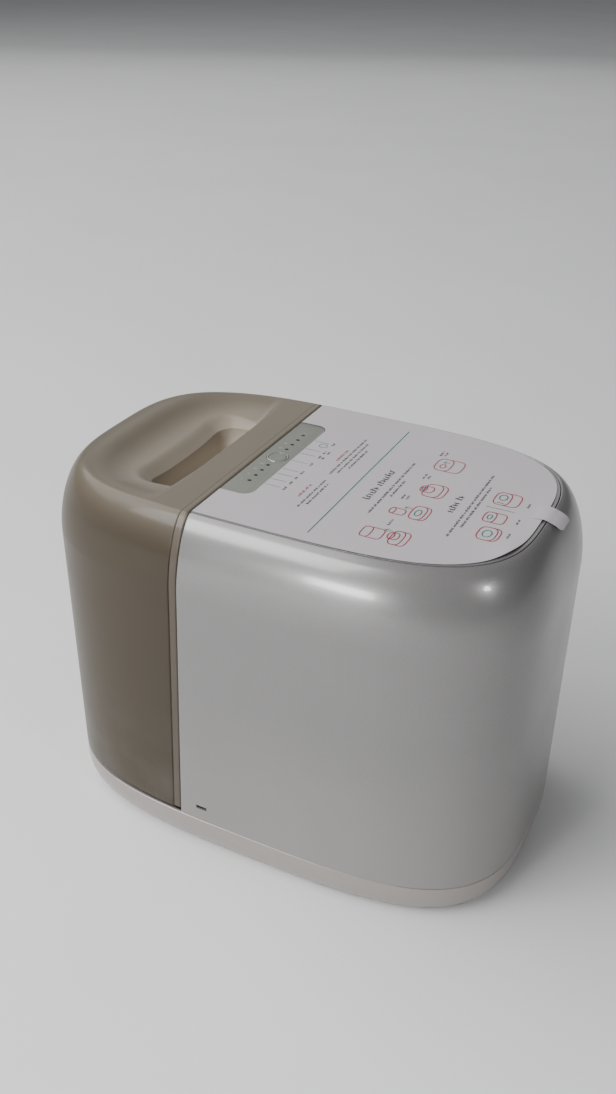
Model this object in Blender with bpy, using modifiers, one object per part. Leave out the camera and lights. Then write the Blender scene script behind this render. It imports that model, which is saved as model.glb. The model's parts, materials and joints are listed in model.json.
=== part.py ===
"""Evaporative room humidifier: tray, lift-off fan housing, wick filter and water tank.

Units are metres, +Z is up. +X runs along the long side, towards the fan housing's
rounded end, and the water tank is at the -X end. +Y points to the back.
The origin is on the floor, under the middle of the case.
"""
import math

import bmesh
import bpy
from mathutils import Matrix, Vector

MM = 0.001

# ---- driving dimensions -------------------------------------------------------------
LENGTH = 376 * MM
WIDTH = 240 * MM
HEIGHT = 288 * MM
PLAN_POWER = 3.4          # exponent of the superelliptic plan outline
SHOULDER_IN = 20 * MM     # how far the top edge draws in
SHOULDER_DOWN = 54 * MM   # height over which it does so
SHOULDER_POWER = 1.75
HEM_IN = 12.5 * MM        # rounding under the tray's side
HEM_UP = 20 * MM
WALL = 3 * MM
GAP = 0.3 * MM            # clearance between neighbouring pieces
FOOT_LIFT = 1.5 * MM      # tray's underside above the floor

TRAY_TOP = 30 * MM
TANK_BASE = 32.5 * MM
SEAM_TOP_X = -45.3 * MM   # plane between tank and fan housing, at the top face
SEAM_LEAN = 0.04          # x gained per metre of height along that plane
FLANGE = 6 * MM           # width of the tank's back plate rim

LID_EDGE = 20 * MM        # inset of the gap round the lid
LID_THICK = 3.5 * MM
LID_LEDGE = 4 * MM

FILTER_X = 62 * MM
FILTER_R = 82 * MM
FILTER_BORE = 62 * MM
FILTER_BASE = 12 * MM
FILTER_TOP = 172 * MM
DECK_Z = 195 * MM
DECK_THICK = 3 * MM
FAN_R = 50 * MM
FAN_INLET_R = 46 * MM
BLADE_LOW = 204 * MM
BLADE_TOP = 240 * MM
SHAFT_TOP = 256 * MM

CAP_X = -118 * MM
CAP_R = 28 * MM
CAP_LOW = 9.3 * MM
CAP_TOP = 30.5 * MM
VALVE_POST_TOP = 9 * MM
CAGE_LOW = 12 * MM
CAGE_TOP = 35 * MM
STEM_TOP = 36.5 * MM
SPRING_LOW = 20.9 * MM
SPRING_TOP = 32.6 * MM
BUTTON_X = -33 * MM
BUTTON_R = 6.4 * MM
DOT_Y = (-41.5 * MM, -32.5 * MM, -23.5 * MM, -14.5 * MM, 14.5 * MM, 23.5 * MM, 32.5 * MM, 41.5 * MM)
DOT_R = 1 * MM
FLOAT_AT = (150 * MM, 60 * MM)
FLOAT_R = 12 * MM
FLOAT_BORE = 2.6 * MM
FLOAT_LOW = 6 * MM
FLOAT_TOP = 15 * MM
GUIDE_TOP = 34 * MM       # top of the post that the float slides on
SENSOR_LOW = 60 * MM
INLET_X = -18 * MM
INLET_Z = 55 * MM
LATCH_X = (-40.5 * MM, -31.5 * MM)
LATCH_Z = (42.2 * MM, 44.8 * MM)
WALL_CUT_Y = (90 * MM, 130 * MM)      # depth of the cutters that open the back wall
BOARD_THICK = 1.6 * MM
STEM_LOW = 280.2 * MM     # underside of the setting button's stem
TAB_Y = (-4 * MM, 15 * MM)

RING_POINTS = 56
FAR = 1.0                 # size of the blocks that stand for half spaces

# ---- scene and helpers --------------------------------------------------------------
for old in list(bpy.data.objects):
    bpy.data.objects.remove(old, do_unlink=True)

parts = bpy.data.collections.new("humidifier")
cutters = bpy.data.collections.new("cutters")
for group in (parts, cutters):
    bpy.context.scene.collection.children.link(group)


def material(name, colour, roughness, metallic=0.0, alpha=1.0):
    """A Principled material in one colour."""
    mat = bpy.data.materials.new(name)
    mat.use_nodes = True
    shader = mat.node_tree.nodes["Principled BSDF"]
    shader.inputs["Base Color"].default_value = (*colour, 1.0)
    shader.inputs["Roughness"].default_value = roughness
    shader.inputs["Metallic"].default_value = metallic
    shader.inputs["Alpha"].default_value = alpha
    return mat


MATERIALS = {
    "case": material("case", (0.55, 0.55, 0.54), 0.3),
    "tank": material("tank", (0.30, 0.26, 0.22), 0.15, alpha=0.6),
    "strip": material("strip", (0.27, 0.30, 0.26), 0.4),
    "film": material("film", (0.62, 0.60, 0.62), 0.5),
    "clear": material("clear", (0.75, 0.78, 0.76), 0.1),
    "inner": material("inner", (0.50, 0.50, 0.48), 0.5),
    "dark": material("dark", (0.03, 0.03, 0.03), 0.5),
    "rubber": material("rubber", (0.04, 0.04, 0.04), 0.8),
    "steel": material("steel", (0.60, 0.60, 0.58), 0.3, metallic=1.0),
    "board": material("board", (0.05, 0.20, 0.09), 0.5),
    "wick": material("wick", (0.78, 0.80, 0.76), 0.9),
}


def add_object(name, mesh, slot=None, origin=(0, 0, 0)):
    """Put a mesh made in world coordinates in the scene, as a part or as a cutter."""
    obj = bpy.data.objects.new(name, mesh)
    mesh.transform(Matrix.Translation(-Vector(origin)))
    obj.location = origin
    if slot is None:
        obj.hide_render = True
        obj.display_type = "WIRE"
        cutters.objects.link(obj)
    else:
        mesh.materials.append(MATERIALS[slot])
        parts.objects.link(obj)
    return obj


def mesh_from(bm, name):
    """Turn a bmesh into a mesh with its faces pointing outwards."""
    bmesh.ops.recalc_face_normals(bm, faces=bm.faces)
    mesh = bpy.data.meshes.new(name)
    bm.to_mesh(mesh)
    bm.free()
    return mesh


def block(name, low, high, slot=None, lean=0.0, bevel=0.0):
    """A box between two corners, sheared along X by lean per unit of height."""
    bm = bmesh.new()
    bmesh.ops.create_cube(bm, size=1.0)
    for vert in bm.verts:
        x, y, z = (a + (b - a) * (c + 0.5) for a, b, c in zip(low, high, vert.co))
        vert.co = (x + lean * (z - HEIGHT), y, z)
    obj = add_object(name, mesh_from(bm, name), slot)
    if bevel:
        mod = obj.modifiers.new("edges", "BEVEL")
        mod.width = bevel
        mod.segments = 2
    return obj


def rod(name, at, radius, z_low, z_high, slot=None, sides=24):
    """An upright cylinder."""
    bm = bmesh.new()
    place = Matrix.Translation((at[0], at[1], (z_low + z_high) / 2))
    bmesh.ops.create_cone(bm, cap_ends=True, segments=sides, radius1=radius, radius2=radius,
                          depth=z_high - z_low, matrix=place)
    return add_object(name, mesh_from(bm, name), slot)


def turned(name, at, profile, slot=None, sides=24):
    """A turned piece: the profile's (radius, height) points go down its outer side."""
    mesh = bpy.data.meshes.new(name)
    closed = min(r for r, z in profile) > 0
    count = len(profile)
    edges = [(i, (i + 1) % count) for i in range(count if closed else count - 1)]
    mesh.from_pydata([(r, 0, z) for r, z in profile], edges, [])
    obj = bpy.data.objects.new(name, mesh)
    obj.location = (at[0], at[1], 0)
    if slot is None:
        obj.hide_render = True
        obj.display_type = "WIRE"
        cutters.objects.link(obj)
    else:
        mesh.materials.append(MATERIALS[slot])
        parts.objects.link(obj)
    mod = obj.modifiers.new("turn", "SCREW")
    mod.steps = sides
    mod.render_steps = sides
    mod.use_merge_vertices = True
    mod.merge_threshold = 0.00001
    return obj


def ring_profile(r_in, r_out, z_low, z_high):
    """A plain ring's section, outer side first, from its top."""
    return [(r_out, z_high), (r_out, z_low), (r_in, z_low), (r_in, z_high)]


def outline(inset, z):
    """Plan outline of the case, drawn in by inset, at height z."""
    power = 2 / PLAN_POWER
    points = []
    for i in range(RING_POINTS):
        turn = 2 * math.pi * (i + 0.5) / RING_POINTS
        c, s = math.cos(turn), math.sin(turn)
        x = (LENGTH / 2 - inset) * math.copysign(abs(c) ** power, c)
        y = (WIDTH / 2 - inset) * math.copysign(abs(s) ** power, s)
        points.append((x, y, z))
    return points


def shoulder(offset, steps):
    """Insets and heights up the rounded top edge, of a skin that lies offset inside the case."""
    power = 2 / SHOULDER_POWER
    levels = []
    for i in range(steps + 1):
        turn = math.pi / 2 * i / steps
        inset = SHOULDER_IN * (1 - max(0.0, math.cos(turn)) ** power)
        height = HEIGHT - SHOULDER_DOWN + SHOULDER_DOWN * math.sin(turn) ** power
        slope = turn / (math.pi / 2)
        levels.append((inset + offset * (1 - slope), height - offset * slope))
    return levels


def hem(steps):
    """Insets and heights up the rounding under the tray's side."""
    levels = []
    for i in range(steps + 1):
        turn = math.pi / 2 * i / steps
        levels.append((HEM_IN * (1 - math.sin(turn)), FOOT_LIFT + HEM_UP * (1 - math.cos(turn))))
    return levels


def loft(name, levels, slot=None, closed=False):
    """Join case outlines at (inset, height) levels into a solid, or into a ring when closed."""
    bm = bmesh.new()
    rings = [[bm.verts.new(p) for p in outline(*level)] for level in levels]
    pairs = list(zip(rings, rings[1:]))
    if closed:
        pairs.append((rings[-1], rings[0]))
    else:
        bm.faces.new(rings[0])
        bm.faces.new(rings[-1])
    for low, high in pairs:
        for i in range(RING_POINTS):
            k = (i + 1) % RING_POINTS
            bm.faces.new((low[i], low[k], high[k], high[i]))
    return add_object(name, mesh_from(bm, name), slot)


def boolean(target, cutter, operation="DIFFERENCE"):
    """Cut, join or keep the common part, with the exact solver."""
    mod = target.modifiers.new(operation.lower(), "BOOLEAN")
    mod.operation = operation
    mod.object = cutter
    mod.solver = "EXACT"
    return target


def tank_side(name, back_off):
    """All space on the tank's side of the seam, back_off away from it."""
    edge = SEAM_TOP_X - back_off
    return block(name, (edge - FAR, -FAR, -FAR), (edge, FAR, FAR), lean=SEAM_LEAN)


def fan_side(name, back_off):
    """All space on the fan housing's side of the seam, back_off away from it."""
    edge = SEAM_TOP_X + back_off
    return block(name, (edge, -FAR, -FAR), (edge + FAR, FAR, FAR), lean=SEAM_LEAN)


def rods(name, places, radius, z_low, z_high, sides=12):
    """Several upright cylinders in one cutter."""
    bm = bmesh.new()
    for x, y in places:
        place = Matrix.Translation((x, y, (z_low + z_high) / 2))
        bmesh.ops.create_cone(bm, cap_ends=True, segments=sides, radius1=radius, radius2=radius,
                              depth=z_high - z_low, matrix=place)
    return add_object(name, mesh_from(bm, name))


def bars(name, boxes):
    """Several boxes in one cutter, each given by its low and high corners."""
    bm = bmesh.new()
    for low, high in boxes:
        size = Vector(high) - Vector(low)
        centre = (Vector(high) + Vector(low)) / 2
        place = Matrix.Translation(centre) @ Matrix.Diagonal((*size, 1))
        bmesh.ops.create_cube(bm, size=1.0, matrix=place)
    return add_object(name, mesh_from(bm, name))


def strip_outline(grow):
    """Control strip's outline: square where it meets the seam, round corners on the lid's side."""
    half_y = STRIP_HALF_Y + grow
    radius = STRIP_CORNER + grow
    points = [(SEAM_TOP_X - 15 * MM, half_y), (SEAM_TOP_X - 15 * MM, -half_y)]
    for side, start in ((-1, 270), (1, 0)):
        for i in range(7):
            turn = math.radians(start + 15 * i)
            points.append((STRIP_EDGE_X + grow - radius + radius * math.cos(turn),
                           side * (half_y - radius) + radius * math.sin(turn)))
    return points


def slot_outline(half_x, half_y, radius, steps=6):
    """Corner points of a rectangle with round corners, centred on the origin."""
    points = []
    corners = ((1, 1, 0), (-1, 1, 90), (-1, -1, 180), (1, -1, 270))
    for sx, sy, start in corners:
        for i in range(steps + 1):
            turn = math.radians(start + 90 * i / steps)
            points.append((sx * (half_x - radius) + radius * math.cos(turn),
                           sy * (half_y - radius) + radius * math.sin(turn)))
    return points


def plate(name, points, z_low, z_high, slot=None):
    """A flat outline given thickness."""
    bm = bmesh.new()
    face = bm.faces.new([bm.verts.new((x, y, z_low)) for x, y in points])
    made = bmesh.ops.extrude_face_region(bm, geom=[face])
    top = [v for v in made["geom"] if isinstance(v, bmesh.types.BMVert)]
    bmesh.ops.translate(bm, verts=top, vec=(0, 0, z_high - z_low))
    return add_object(name, mesh_from(bm, name), slot)


def moved(points, x, y):
    """The points shifted to a place in plan."""
    return [(px + x, py + y) for px, py in points]


# ---- tray ---------------------------------------------------------------------------
FOOT_PLACES = [(sx * 140 * MM, sy * 78 * MM) for sx in (-1, 1) for sy in (-1, 1)]
FOOT_R = 10 * MM
TRAY_FLOOR = 4.5 * MM
SEAT_RING_R = 74 * MM
SEAT_RING_TOP = 7 * MM


def make_tray():
    """Water pan with a filter seat, the post that opens the tank's valve, and a float guide."""
    inner_foot = 9 * MM
    levels = hem(4) + [(0, TRAY_TOP - 1 * MM), (1 * MM, TRAY_TOP), (WALL, TRAY_TOP),
                       (WALL, 18 * MM), (inner_foot, 8 * MM), (inner_foot + HEM_IN / 2, TRAY_FLOOR)]
    pan = loft("tray_pan", levels, "case")
    recess = rods("foot_recesses", FOOT_PLACES, FOOT_R + GAP, -FOOT_LIFT, FOOT_LIFT + 1 * MM, 16)
    boolean(pan, recess)
    root = TRAY_FLOOR - 1 * MM
    seat = turned("filter_seat", (FILTER_X, 0),
                  ring_profile(SEAT_RING_R - 3 * MM, SEAT_RING_R, root, SEAT_RING_TOP))
    boolean(pan, seat, "UNION")
    boolean(pan, rod("valve_post", (CAP_X, 0), 3 * MM, root, VALVE_POST_TOP), "UNION")
    boolean(pan, rod("float_guide", FLOAT_AT, 2 * MM, root, GUIDE_TOP), "UNION")


def make_feet():
    """Four rubber pads pressed into the tray's underside."""
    for i, place in enumerate(FOOT_PLACES):
        rod(f"rubber_foot_{i}", place, FOOT_R, 0, FOOT_LIFT + 1 * MM - GAP, "rubber", 16)


def make_float():
    """Ring float that rises on its guide, with a magnet on top."""
    turned("level_float", FLOAT_AT, [(FLOAT_R - 1 * MM, FLOAT_TOP), (FLOAT_R, FLOAT_TOP - 1 * MM),
                                     (FLOAT_R, FLOAT_LOW), (FLOAT_BORE, FLOAT_LOW),
                                     (FLOAT_BORE, FLOAT_TOP)], "inner", 24)
    magnet = ring_profile(FLOAT_BORE, FLOAT_R / 2, FLOAT_TOP + GAP, FLOAT_TOP + 3 * MM)
    turned("float_magnet", FLOAT_AT, magnet, "dark", 24)


# ---- tank ---------------------------------------------------------------------------
DISH_X = (-154 * MM, -75 * MM)        # outer rim of the dish, and its straight side at the grip bar
DISH_MIDDLE_X = -88 * MM
DISH_HALF_Y = 92 * MM
DISH_POWER = 3.2
DISH_DEEP = 15 * MM
DISH_POINTS = 36
SLOT_X = (-113 * MM, -76.5 * MM)
SLOT_HALF_Y = 56 * MM
SLOT_CORNER = 14 * MM
SLOT_BASE = 248 * MM
UNDERCUT_X = -66 * MM
UNDERCUT_TOP = 264 * MM
NECK_R = 24.5 * MM
NECK_BORE = 21.5 * MM
NECK_END = 14 * MM


def dish(name, extra):
    """Shallow dish with its steep side along the grip bar, grown by extra."""
    power = 2 / DISH_POWER
    bm = bmesh.new()
    rings = []
    for part in (1.04, 0.9, 0.75, 0.55, 0.3, 0.1):
        z = HEIGHT - extra - DISH_DEEP * (1 - part * part)
        ring = []
        for i in range(DISH_POINTS):
            turn = 2 * math.pi * (i + 0.5) / DISH_POINTS
            c, s = math.cos(turn), math.sin(turn)
            half = abs((DISH_X[1] if c > 0 else DISH_X[0]) - DISH_MIDDLE_X) + extra
            x = DISH_MIDDLE_X + part * half * math.copysign(abs(c) ** power, c)
            y = part * (DISH_HALF_Y + extra) * math.copysign(abs(s) ** power, s)
            ring.append(bm.verts.new((x, y, z)))
        rings.append(ring)
    bm.faces.new(rings[0])
    bm.faces.new(rings[-1])
    for near, far in zip(rings, rings[1:]):
        for i in range(DISH_POINTS):
            k = (i + 1) % DISH_POINTS
            bm.faces.new((near[i], near[k], far[k], far[i]))
    return add_object(name, mesh_from(bm, name))


def hand_slot(name, extra):
    """The finger slot's mouth, and the undercut behind the grip bar, grown by extra."""
    middle = (SLOT_X[0] + SLOT_X[1]) / 2
    half_x = (SLOT_X[1] - SLOT_X[0]) / 2 + extra
    mouth = plate(name, moved(slot_outline(half_x, SLOT_HALF_Y + extra, SLOT_CORNER + extra), middle, 0),
                  SLOT_BASE - extra, HEIGHT + 5 * MM)
    reach = (UNDERCUT_X - SLOT_X[0]) / 2 + extra
    centre = (UNDERCUT_X + SLOT_X[0]) / 2
    pocket = plate(name + "_undercut",
                   moved(slot_outline(reach, SLOT_HALF_Y + extra - 0.2 * MM, 10 * MM), centre, 0),
                   SLOT_BASE - extra + 0.2 * MM, UNDERCUT_TOP + extra)
    return mouth, pocket


def make_tank():
    """Translucent moulding with a scooped top, a finger slot and a threaded neck."""
    levels = [(1.5 * MM, TANK_BASE), (0, TANK_BASE + 2 * MM)] + shoulder(0, 6)
    shell = loft("tank_shell", levels, "tank")
    boolean(shell, tank_side("tank_half", GAP / 2 + FLANGE + GAP), "INTERSECT")
    boolean(shell, dish("dish", 0))
    mouth, pocket = hand_slot("hand_slot", 0)
    boolean(shell, mouth)
    boolean(shell, pocket)

    water = loft("water_space", [(WALL + 3 * MM, TANK_BASE + WALL), (WALL, TANK_BASE + 8 * MM)]
                 + shoulder(WALL, 4))
    boolean(water, tank_side("water_half", -FLANGE), "INTERSECT")
    boolean(water, dish("dish_skin", WALL))
    for skin in hand_slot("slot_skin", 2.5 * MM):
        boolean(water, skin)
    boolean(shell, water)

    neck = rod("neck", (CAP_X, 0), NECK_R, NECK_END, TANK_BASE + 1 * MM, sides=28)
    boolean(shell, neck, "UNION")
    bore = rod("neck_bore", (CAP_X, 0), NECK_BORE, 0, TANK_BASE + 2 * WALL, sides=28)
    boolean(shell, bore)


def make_back_plate():
    """Flat wall that closes the tank on the fan housing's side, with a welded rim."""
    levels = [(1.5 * MM, TANK_BASE), (0, TANK_BASE + 2 * MM)] + shoulder(0, 6)
    back = loft("tank_back_plate", levels, "tank")
    boolean(back, tank_side("plate_front", GAP / 2), "INTERSECT")
    boolean(back, tank_side("plate_rear", GAP / 2 + FLANGE))
    hollow = loft("plate_hollow", [(WALL, TANK_BASE + WALL)] + shoulder(WALL, 4))
    boolean(hollow, tank_side("plate_depth", GAP / 2 + WALL), "INTERSECT")
    boolean(back, hollow)


def make_cap():
    """Quarter-turn cap under the tank, with grip notches and its sealing ring."""
    at = (CAP_X, 0)
    r_out, r_in = CAP_R, CAP_R - 2.5 * MM
    low, floor, top = CAP_LOW, CAP_LOW + 2.4 * MM, CAP_TOP
    valve_hole = 6 * MM
    cap = turned("tank_cap", at, [(r_out, top), (r_out, low + 1 * MM), (r_out - 1 * MM, low),
                                  (valve_hole, low), (valve_hole, floor), (r_in, floor),
                                  (r_in, top)], "case", 28)
    notches = [(CAP_X + (r_out + 0.6 * MM) * math.cos(a), (r_out + 0.6 * MM) * math.sin(a))
               for a in (2 * math.pi * i / 12 for i in range(12))]
    boolean(cap, rods("cap_grips", notches, 2 * MM, low - 1 * MM, top - 4 * MM, 8))
    turned("cap_seal", at, ring_profile(NECK_BORE, NECK_R, floor + GAP, NECK_END - GAP), "rubber", 24)


def make_valve():
    """Sprung valve that the tray's post holds open while the tank is seated."""
    at = (CAP_X, 0)
    cage_in, cage_out = 10.5 * MM, 12 * MM
    roof = CAGE_TOP - 1.5 * MM
    guide_r = 3 * MM
    cage = turned("valve_cage", at, [(cage_out, CAGE_TOP), (cage_out, CAGE_LOW), (cage_in, CAGE_LOW),
                                     (cage_in, roof), (guide_r, roof), (guide_r, CAGE_TOP)], "inner", 24)
    long, wide = 20 * MM, 4 * MM
    low, high = CAGE_LOW + 3 * MM, CAGE_TOP - 7 * MM
    for i, (half_x, half_y) in enumerate([(long, wide), (wide, long)]):
        boolean(cage, block(f"cage_window_{i}", (CAP_X - half_x, -half_y, low),
                            (CAP_X + half_x, half_y, high)))
    stem_r, head_r = 2.5 * MM, 8 * MM
    head_low, head_top = 18.4 * MM, 20 * MM
    seal_r, seal_thick = 9 * MM, 2.1 * MM
    turned("valve_stem", at, [(0, STEM_TOP), (stem_r, STEM_TOP), (stem_r, head_top), (head_r, head_top),
                              (head_r, head_low), (stem_r, head_low), (stem_r, CAP_LOW),
                              (0, CAP_LOW)], "inner", 20)
    turned("valve_seal", at, ring_profile(stem_r + GAP, seal_r, head_low - GAP - seal_thick, head_low - GAP),
           "rubber", 24)

    turns, per_turn = 4, 10
    radius, wire = 5 * MM, 0.5 * MM
    coil = bpy.data.curves.new("valve_spring", "CURVE")
    coil.dimensions = "3D"
    coil.bevel_depth = wire
    coil.bevel_resolution = 1
    coil.resolution_u = 1
    coil.use_fill_caps = True
    spline = coil.splines.new("POLY")
    count = turns * per_turn
    spline.points.add(count)
    for i, point in enumerate(spline.points):
        turn = 2 * math.pi * i / per_turn
        point.co = (radius * math.cos(turn), radius * math.sin(turn),
                    SPRING_LOW + (SPRING_TOP - SPRING_LOW) * i / count, 1)
    spring = bpy.data.objects.new("valve_spring", coil)
    spring.location = (CAP_X, 0, 0)
    coil.materials.append(MATERIALS["steel"])
    parts.objects.link(spring)


# ---- fan housing --------------------------------------------------------------------
POST_PLACES = [(146 * MM, 74 * MM), (146 * MM, -74 * MM), (-28 * MM, 96 * MM), (-28 * MM, -96 * MM)]
POST_R = 5 * MM
SCREW_HOLE_R = 1.7 * MM
GRILLE_X = (10 * MM, 114 * MM)
GRILLE_Z = (62 * MM, 172 * MM)


def case_below_lid(name, offset, base, steps):
    """Solid of the case, drawn in by offset, from base up to the top."""
    return loft(name, [(offset, base)] + shoulder(offset, steps))


def make_body_shell():
    """Outer shell of the fan housing, open underneath, with a wall towards the tank."""
    shell = case_below_lid("body_shell", 0, TRAY_TOP + GAP, 6)
    shell.data.materials.append(MATERIALS["case"])
    cutters.objects.unlink(shell)
    parts.objects.link(shell)
    shell.hide_render = False
    shell.display_type = "TEXTURED"
    boolean(shell, fan_side("shell_half", GAP / 2), "INTERSECT")

    room = case_below_lid("room", WALL, TRAY_TOP - 5 * MM, 4)
    boolean(room, fan_side("room_half", GAP / 2 + WALL), "INTERSECT")
    boolean(room, rods("screw_posts", POST_PLACES, POST_R, DECK_Z + DECK_THICK + GAP, HEIGHT))
    boolean(shell, room)
    boolean(shell, rods("post_holes", POST_PLACES, SCREW_HOLE_R, DECK_Z, DECK_Z + 16 * MM))

    ledge_top = HEIGHT - LID_THICK - GAP
    boolean(shell, loft("lid_recess", [(LID_EDGE, ledge_top), (LID_EDGE, HEIGHT + LID_THICK)]))
    opening = loft("lid_opening", [(LID_EDGE + LID_LEDGE, ledge_top - 12 * MM),
                                   (LID_EDGE + LID_LEDGE, HEIGHT)])
    boolean(opening, fan_side("opening_half", GAP / 2 + WALL), "INTERSECT")
    boolean(shell, opening)

    latch = block("latch_slot", (LATCH_X[0], -WALL_CUT_Y[1], LATCH_Z[0]),
                  (LATCH_X[1], -WALL_CUT_Y[1] + 20 * MM, LATCH_Z[1]))
    boolean(shell, latch)
    hatch = block("grille_opening", (GRILLE_X[0], WALL_CUT_Y[0], GRILLE_Z[0]),
                  (GRILLE_X[1], WALL_CUT_Y[1], GRILLE_Z[1]))
    boolean(shell, hatch)
    inlet = block("inlet_opening", (INLET_X - 9 * MM, WALL_CUT_Y[1] - 20 * MM, INLET_Z - 7 * MM),
                  (INLET_X + 9 * MM, WALL_CUT_Y[1], INLET_Z + 7 * MM))
    boolean(shell, inlet)


def make_grille():
    """Curved air intake at the back, with level slots."""
    low, high = GRILLE_Z[0] + GAP, GRILLE_Z[1] - GAP
    grille = loft("intake_grille", [(0.5 * MM, low), (0.5 * MM, high), (WALL, high), (WALL, low)],
                  "case", closed=True)
    frame = block("grille_edge", (GRILLE_X[0] + GAP, WALL_CUT_Y[0], 0),
                  (GRILLE_X[1] - GAP, WALL_CUT_Y[1], HEIGHT))
    boolean(grille, frame, "INTERSECT")
    pitch, opening, count = 10 * MM, 4.4 * MM, 10
    first = low + 7 * MM
    slots = [((GRILLE_X[0] + 6 * MM, WALL_CUT_Y[0], first + i * pitch),
              (GRILLE_X[1] - 6 * MM, WALL_CUT_Y[1], first + i * pitch + opening)) for i in range(count)]
    boolean(grille, bars("grille_slots", slots))


def make_lid():
    """Top panel with the air outlet, and the recess and holes of the control strip."""
    low = HEIGHT - LID_THICK
    lid = loft("top_panel", [(LID_EDGE + GAP, low), (LID_EDGE + GAP, HEIGHT - 0.5 * MM),
                             (LID_EDGE + GAP + 0.5 * MM, HEIGHT)], "case")
    boolean(lid, fan_side("lid_half", GAP / 2), "INTERSECT")
    pitch, opening, count = 9 * MM, 4.5 * MM, 13
    slots = []
    for i in range(count):
        off = (i - (count - 1) / 2) * pitch
        half = 62 * MM * math.sqrt(1 - (off / (64 * MM)) ** 2)
        slots.append(((FILTER_X + 6 * MM + off - opening / 2, -half, low - 1 * MM),
                      (FILTER_X + 6 * MM + off + opening / 2, half, HEIGHT + 1 * MM)))
    boolean(lid, bars("outlet_slots", slots))
    recess = plate("strip_recess", strip_outline(GAP), HEIGHT - STRIP_THICK - GAP, HEIGHT + 5 * MM)
    boolean(lid, recess)
    boolean(lid, rod("button_well", (BUTTON_X, 0), BEZEL_R + GAP, low - 1 * MM, HEIGHT + 1 * MM, sides=32))
    boolean(lid, rods("dot_holes", [(BUTTON_X, y) for y in DOT_Y], DOT_R + GAP,
                      low - 1 * MM, HEIGHT + 1 * MM, 8))


# ---- controls -----------------------------------------------------------------------
STRIP_EDGE_X = -22 * MM
STRIP_HALF_Y = 62 * MM
STRIP_CORNER = 8 * MM
STRIP_THICK = 1.2 * MM
BEZEL_R = 8 * MM
BOARD_Z = 273 * MM


def make_strip():
    """Control strip inlaid in the lid, with holes for the button and the lights."""
    strip = plate("control_strip", strip_outline(0), HEIGHT - STRIP_THICK, HEIGHT, "strip")
    boolean(strip, fan_side("strip_half", GAP / 2), "INTERSECT")
    boolean(strip, rod("strip_button_hole", (BUTTON_X, 0), BEZEL_R + GAP, 0.2, 0.3, sides=32))
    boolean(strip, rods("strip_dot_holes", [(BUTTON_X, y) for y in DOT_Y], DOT_R + GAP, 0.2, 0.3, 8))


def make_button():
    """Round setting button in its ring, over a small push switch."""
    at = (BUTTON_X, 0)
    inner = BUTTON_R + GAP
    turned("button_ring", at, ring_profile(inner, BEZEL_R, HEIGHT - LID_THICK, HEIGHT + 0.3 * MM), "clear")
    top = HEIGHT + 0.2 * MM
    low = HEIGHT - 3 * MM
    turned("setting_button", at, [(0, top), (BUTTON_R * 0.7, top - 0.05 * MM), (BUTTON_R, top - 0.5 * MM),
                                  (BUTTON_R, low), (2 * MM, low), (2 * MM, STEM_LOW), (0, STEM_LOW)],
           "strip")
    base = BOARD_Z + BOARD_THICK + GAP
    switch = block("push_switch", (BUTTON_X - 3 * MM, -3 * MM, base),
                   (BUTTON_X + 3 * MM, 3 * MM, base + 2.6 * MM), "dark")
    tip = rod("switch_tip", at, 1.5 * MM, base + 2 * MM, base + 3.6 * MM, sides=16)
    boolean(switch, tip, "UNION")


def make_light_guide():
    """Clear bar with eight pins that end flush with the strip."""
    low = HEIGHT - LID_THICK - 3 * MM
    reach = DOT_Y[-1] + 3 * MM
    for name, side in (("light_guide_front", -1), ("light_guide_back", 1)):
        dots = [y for y in DOT_Y if y * side > 0]
        near, far = sorted((side * (min(abs(y) for y in dots) - 3 * MM), side * reach))
        guide = block(name, (BUTTON_X - 2 * MM, near, low), (BUTTON_X + 2 * MM, far, low + 2 * MM), "clear")
        pins = rods(name + "_pins", [(BUTTON_X, y) for y in dots], DOT_R, low + 1 * MM, HEIGHT, 8)
        boolean(guide, pins, "UNION")


def make_boards():
    """Control board under the strip; driver board, choke and capacitor on the deck."""
    block("control_board", (-42 * MM, -52 * MM, BOARD_Z), (-24 * MM, 52 * MM, BOARD_Z + BOARD_THICK), "board")
    deck = DECK_Z + DECK_THICK
    base = deck + GAP
    block("driver_board", (-43 * MM, -55 * MM, base), (-7 * MM, 55 * MM, base + BOARD_THICK), "board")
    top = base + BOARD_THICK + GAP
    block("transformer", (-40 * MM, 12 * MM, top), (-14 * MM, 40 * MM, top + 20 * MM), "dark", bevel=1 * MM)
    can = [(0, top + 25 * MM), (7 * MM, top + 25 * MM), (8 * MM, top + 24 * MM), (8 * MM, top), (0, top)]
    turned("capacitor", (-26 * MM, -28 * MM), can, "dark", 20)


# ---- fan ----------------------------------------------------------------------------
SHROUD_R = 54 * MM
SHROUD_TOP = 262 * MM
BRACKET_SCREWS = [(FILTER_X + 58 * MM * math.cos(a), 58 * MM * math.sin(a))
                  for a in (2 * math.pi * (i + 0.5) / 3 for i in range(3))]
MOTOR_LOW = 244.5 * MM
SHAFT_R = 2 * MM


def make_deck():
    """Level partition over the filter, with the fan's inlet in its middle."""
    deck = loft("fan_deck", [(WALL + GAP, DECK_Z), (WALL + GAP, DECK_Z + DECK_THICK)], "inner")
    boolean(deck, fan_side("deck_half", GAP / 2 + WALL + GAP), "INTERSECT")
    inlet = rod("fan_inlet", (FILTER_X, 0), FAN_INLET_R, DECK_Z - 1 * MM, DECK_Z + 2 * DECK_THICK, sides=32)
    boolean(deck, inlet)
    boolean(deck, rods("deck_holes", POST_PLACES, SCREW_HOLE_R + GAP, DECK_Z - 1 * MM, DECK_Z + 5 * MM))


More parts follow.
